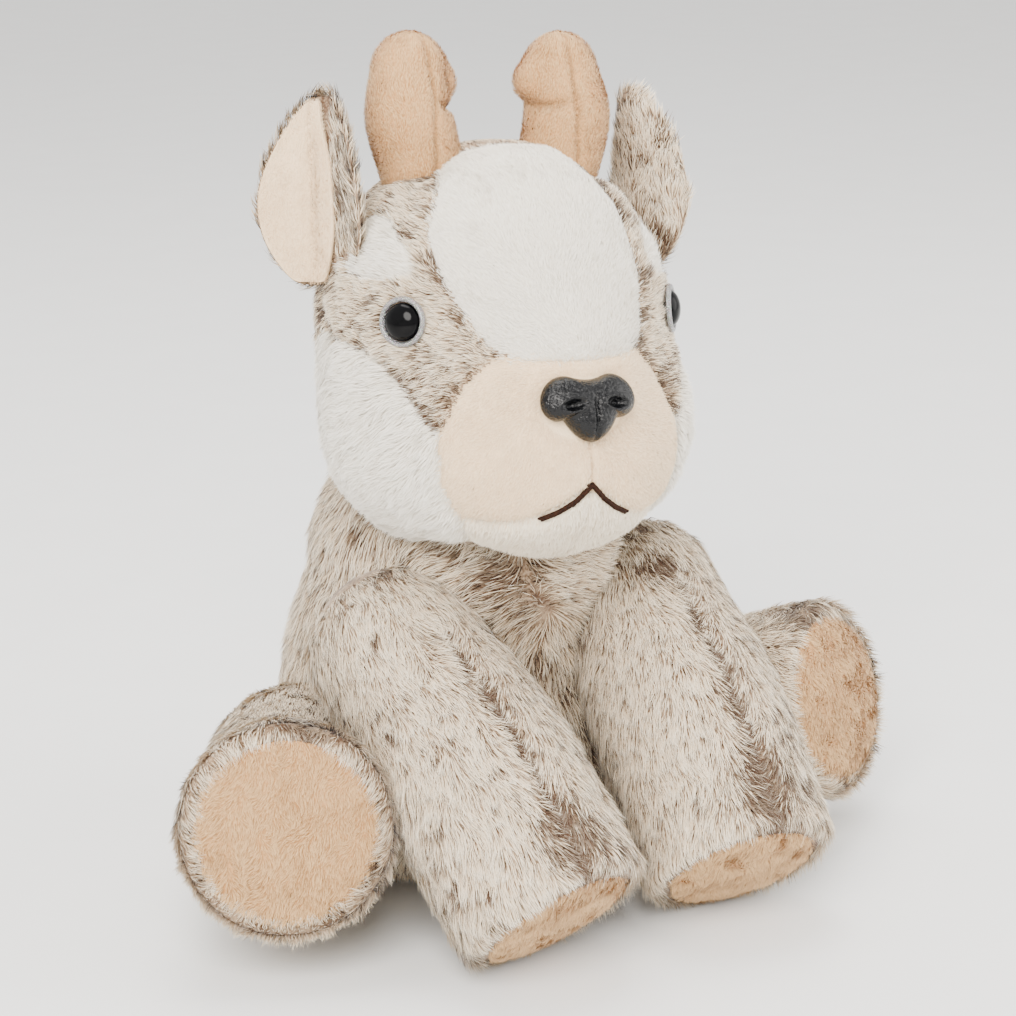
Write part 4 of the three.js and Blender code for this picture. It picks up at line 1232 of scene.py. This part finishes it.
def makeHorn(side, sideName):
    verts, faces = [], []
    for path, radii in ((horn["stem"], horn["stemRadii"]), (horn["hook"], horn["hookRadii"])):
        rings = limbRings(mirroredPath(path, side), radii, rows=16, sides=36, capRows=7)[0]
        part, partFaces = closedGrid(rings)
        start = sum(len(other) for other in verts)
        partFaces = outwardFaces(part, partFaces)
        verts.append(part)
        faces += [[v + start for v in face] for face in partFaces]
    obj = meshObject("hornPlush_" + sideName, placeHead(np.concatenate(verts)), faces, clothMaterials["tan"])
    remesh = obj.modifiers.new("joined", "REMESH")
    remesh.mode = "VOXEL"
    remesh.voxel_size = 0.0009
    smooth = obj.modifiers.new("softened", "SMOOTH")
    smooth.factor = 0.5
    smooth.iterations = 12
    mesh = bpy.data.meshes.new_from_object(obj.evaluated_get(bpy.context.evaluated_depsgraph_get()))
    obj.modifiers.clear()
    obj.data = mesh
    # A crease where the hook turns in, and the seam down the inner side.
    points, _, normals = surfaceOf(obj)
    flat = unplaceHead(points)
    crease, seam = hornCreases(flat, side)
    mesh.vertices.foreach_set("co", toMetres(points - normals * (crease * 1.7 + seam * 0.9)[:, None]).reshape(-1))
    mesh.polygons.foreach_set("use_smooth", [True] * len(mesh.polygons))
    mesh.update()
    declare(obj, "head", ["horn_skin_" + sideName])
    points, normals, _ = scatter(surfaceOf(obj), 8.0, lambda p, n, e: p[:, 2] > 180)
    combs = np.array([0, 0, 1.0]) + noiseVector(points, 6, 120) * 1.2
    crease, seam = hornCreases(unplaceHead(points), side)
    tones = 0.12 + 0.25 * smoothstep(noise(points, 5, 121), 0.5, 0.8) + rng.uniform(-0.1, 0.12, len(points))
    # Darker along the crease where the hook turns in and along the seam down the front: painted shade in these dents,
    # the seam partly also a darker joint.
    tones += crease * 0.7 + seam * 0.6
    fur = growStrands("hornPile_" + sideName, points, normals, combs, np.full(len(points), 1.5), tones,
                      strandMaterials["tan"], width=0.2, lift=0.45, clump=0.4, clumpSize=1.5, droop=0)
    declare(fur, "head")


ear = {"root": (43, -9, 157.5), "height": 47, "halfWidth": 15, "lean": (0.03, 0.06, 1), "cup": math.radians(62),
       "turn": {"right": 57, "left": 97}}


def earGrid(side, sideName, front, back, trim, reach=1.0, stations=34, spans=26):
    facing = towards(np.array([side * ear["turn"][sideName]], dtype=float), np.array([0.0]))[0]
    lean = unit(np.array([ear["lean"][0] * side, *ear["lean"][1:]]))
    across = unit(np.cross(lean, facing))
    root = np.array([ear["root"][0] * side, *ear["root"][1:]])
    rings = []
    for station in np.linspace(0, 1, stations):
        t = trim / ear["height"] + (1 - 2 * trim / ear["height"]) * station
        halfWidth = ear["halfWidth"] * math.sin(math.pi * (0.12 + 0.84 * t ** 0.85)) ** 0.75 - trim
        centre = root + lean * ear["height"] * t + facing * 3 * math.sin(math.pi * t)
        q = np.linspace(-1, reach if reach == 1 else -0.1 + (reach + 0.1) * math.sin(math.pi * t) ** 0.4, spans)
        place = (centre + np.outer(halfWidth * np.sin(q * ear["cup"]) / math.sin(ear["cup"]), across)
                 + np.outer(halfWidth * 0.75 * (1 - np.cos(q * ear["cup"])), facing))
        fold = 2.2 * math.sin(math.pi * min(1, t * 1.1)) * np.exp(-((q + 0.12) / 0.14) ** 2)
        place = place - np.outer(fold, facing) * (front > 0)
        thin = (1 - 0.55 * q * q)[:, None]
        rings.append(np.concatenate([place + facing * front * thin, (place + facing * back * thin)[::-1]]))
    return np.array(rings), facing, lean, across


def makeEar(side, sideName):
    body = "ear_" + sideName
    sheets = (("Back", "mottled", 0, -3, 0, 1), ("Lining", "cream", 2.1, 0.75, 0.9, 0.34))
    for kind, look, front, back, trim, reach in sheets:
        rings, facing, lean, across = earGrid(side, sideName, front, back, trim, reach)
        verts, faces = closedGrid(rings)
        wave = (noise(verts, 9, 130) - 0.5) * 1.1
        verts = verts + facing * wave[:, None]
        obj = meshObject("ear" + kind + "_" + sideName, placeHead(verts), outwardFaces(verts, faces),
                         clothMaterials[look])
        subdivided(obj)
        declare(obj, body, [("ear_back_" if kind == "Back" else "ear_lining_") + sideName])
        facingPlaced, leanPlaced = facing @ headMatrix.T, lean @ headMatrix.T
        surface = surfaceOf(obj)

        def outer(points, normals, extras):
            clear = headDistance(unplaceHead(points)) > 0.5
            toFront = normals @ facingPlaced
            if kind == "Lining":
                return clear & (toFront > -0.2)
            flat = unplaceHead(points) - ear["root"] * np.array([side, 1, 1])
            return clear & ((toFront < 0.45) | (flat @ across > ear["halfWidth"] * 0.3))

        points, normals, _ = scatter(surface, 4.0 if kind == "Back" else 8.0, outer)
        combs = leanPlaced + noiseVector(points, 8, 131) * 0.8
        if kind == "Back":
            patches = noise(points, 2.6, 132) * 0.5 + noise(points, 7, 133) * 0.5
            tones = flecked(points, 0.1 + 0.6 * smoothstep(patches, 0.5, 0.72))
            lengths = np.full(len(points), 5.0)
        else:
            flat = unplaceHead(points) - ear["root"] * np.array([side, 1, 1])
            # The lining is darker along its fold: painted shade in the fold.
            foldShade = np.exp(-((flat @ across + 2.0) / 0.9) ** 2)
            tones = 0.1 + 0.3 * smoothstep(noise(points, 7, 134), 0.55, 0.85) + 0.55 * foldShade
            tones = tones + rng.uniform(-0.08, 0.1, len(points))
            lengths = np.full(len(points), 1.3)
        fur = growStrands("ear" + kind + "Pile_" + sideName, points, normals, combs, lengths, tones,
                          strandMaterials[look], width=0.3 if kind == "Back" else 0.17,
                          lift=0.3 if kind == "Back" else 0.45, clump=0.8, clumpSize=2.6, droop=0.04)
        declare(fur, body)


for side, sideName in ((-1, "right"), (1, "left")):
    makeHorn(side, sideName)
    makeEar(side, sideName)
print("horns and ears made")

print("whole object made")
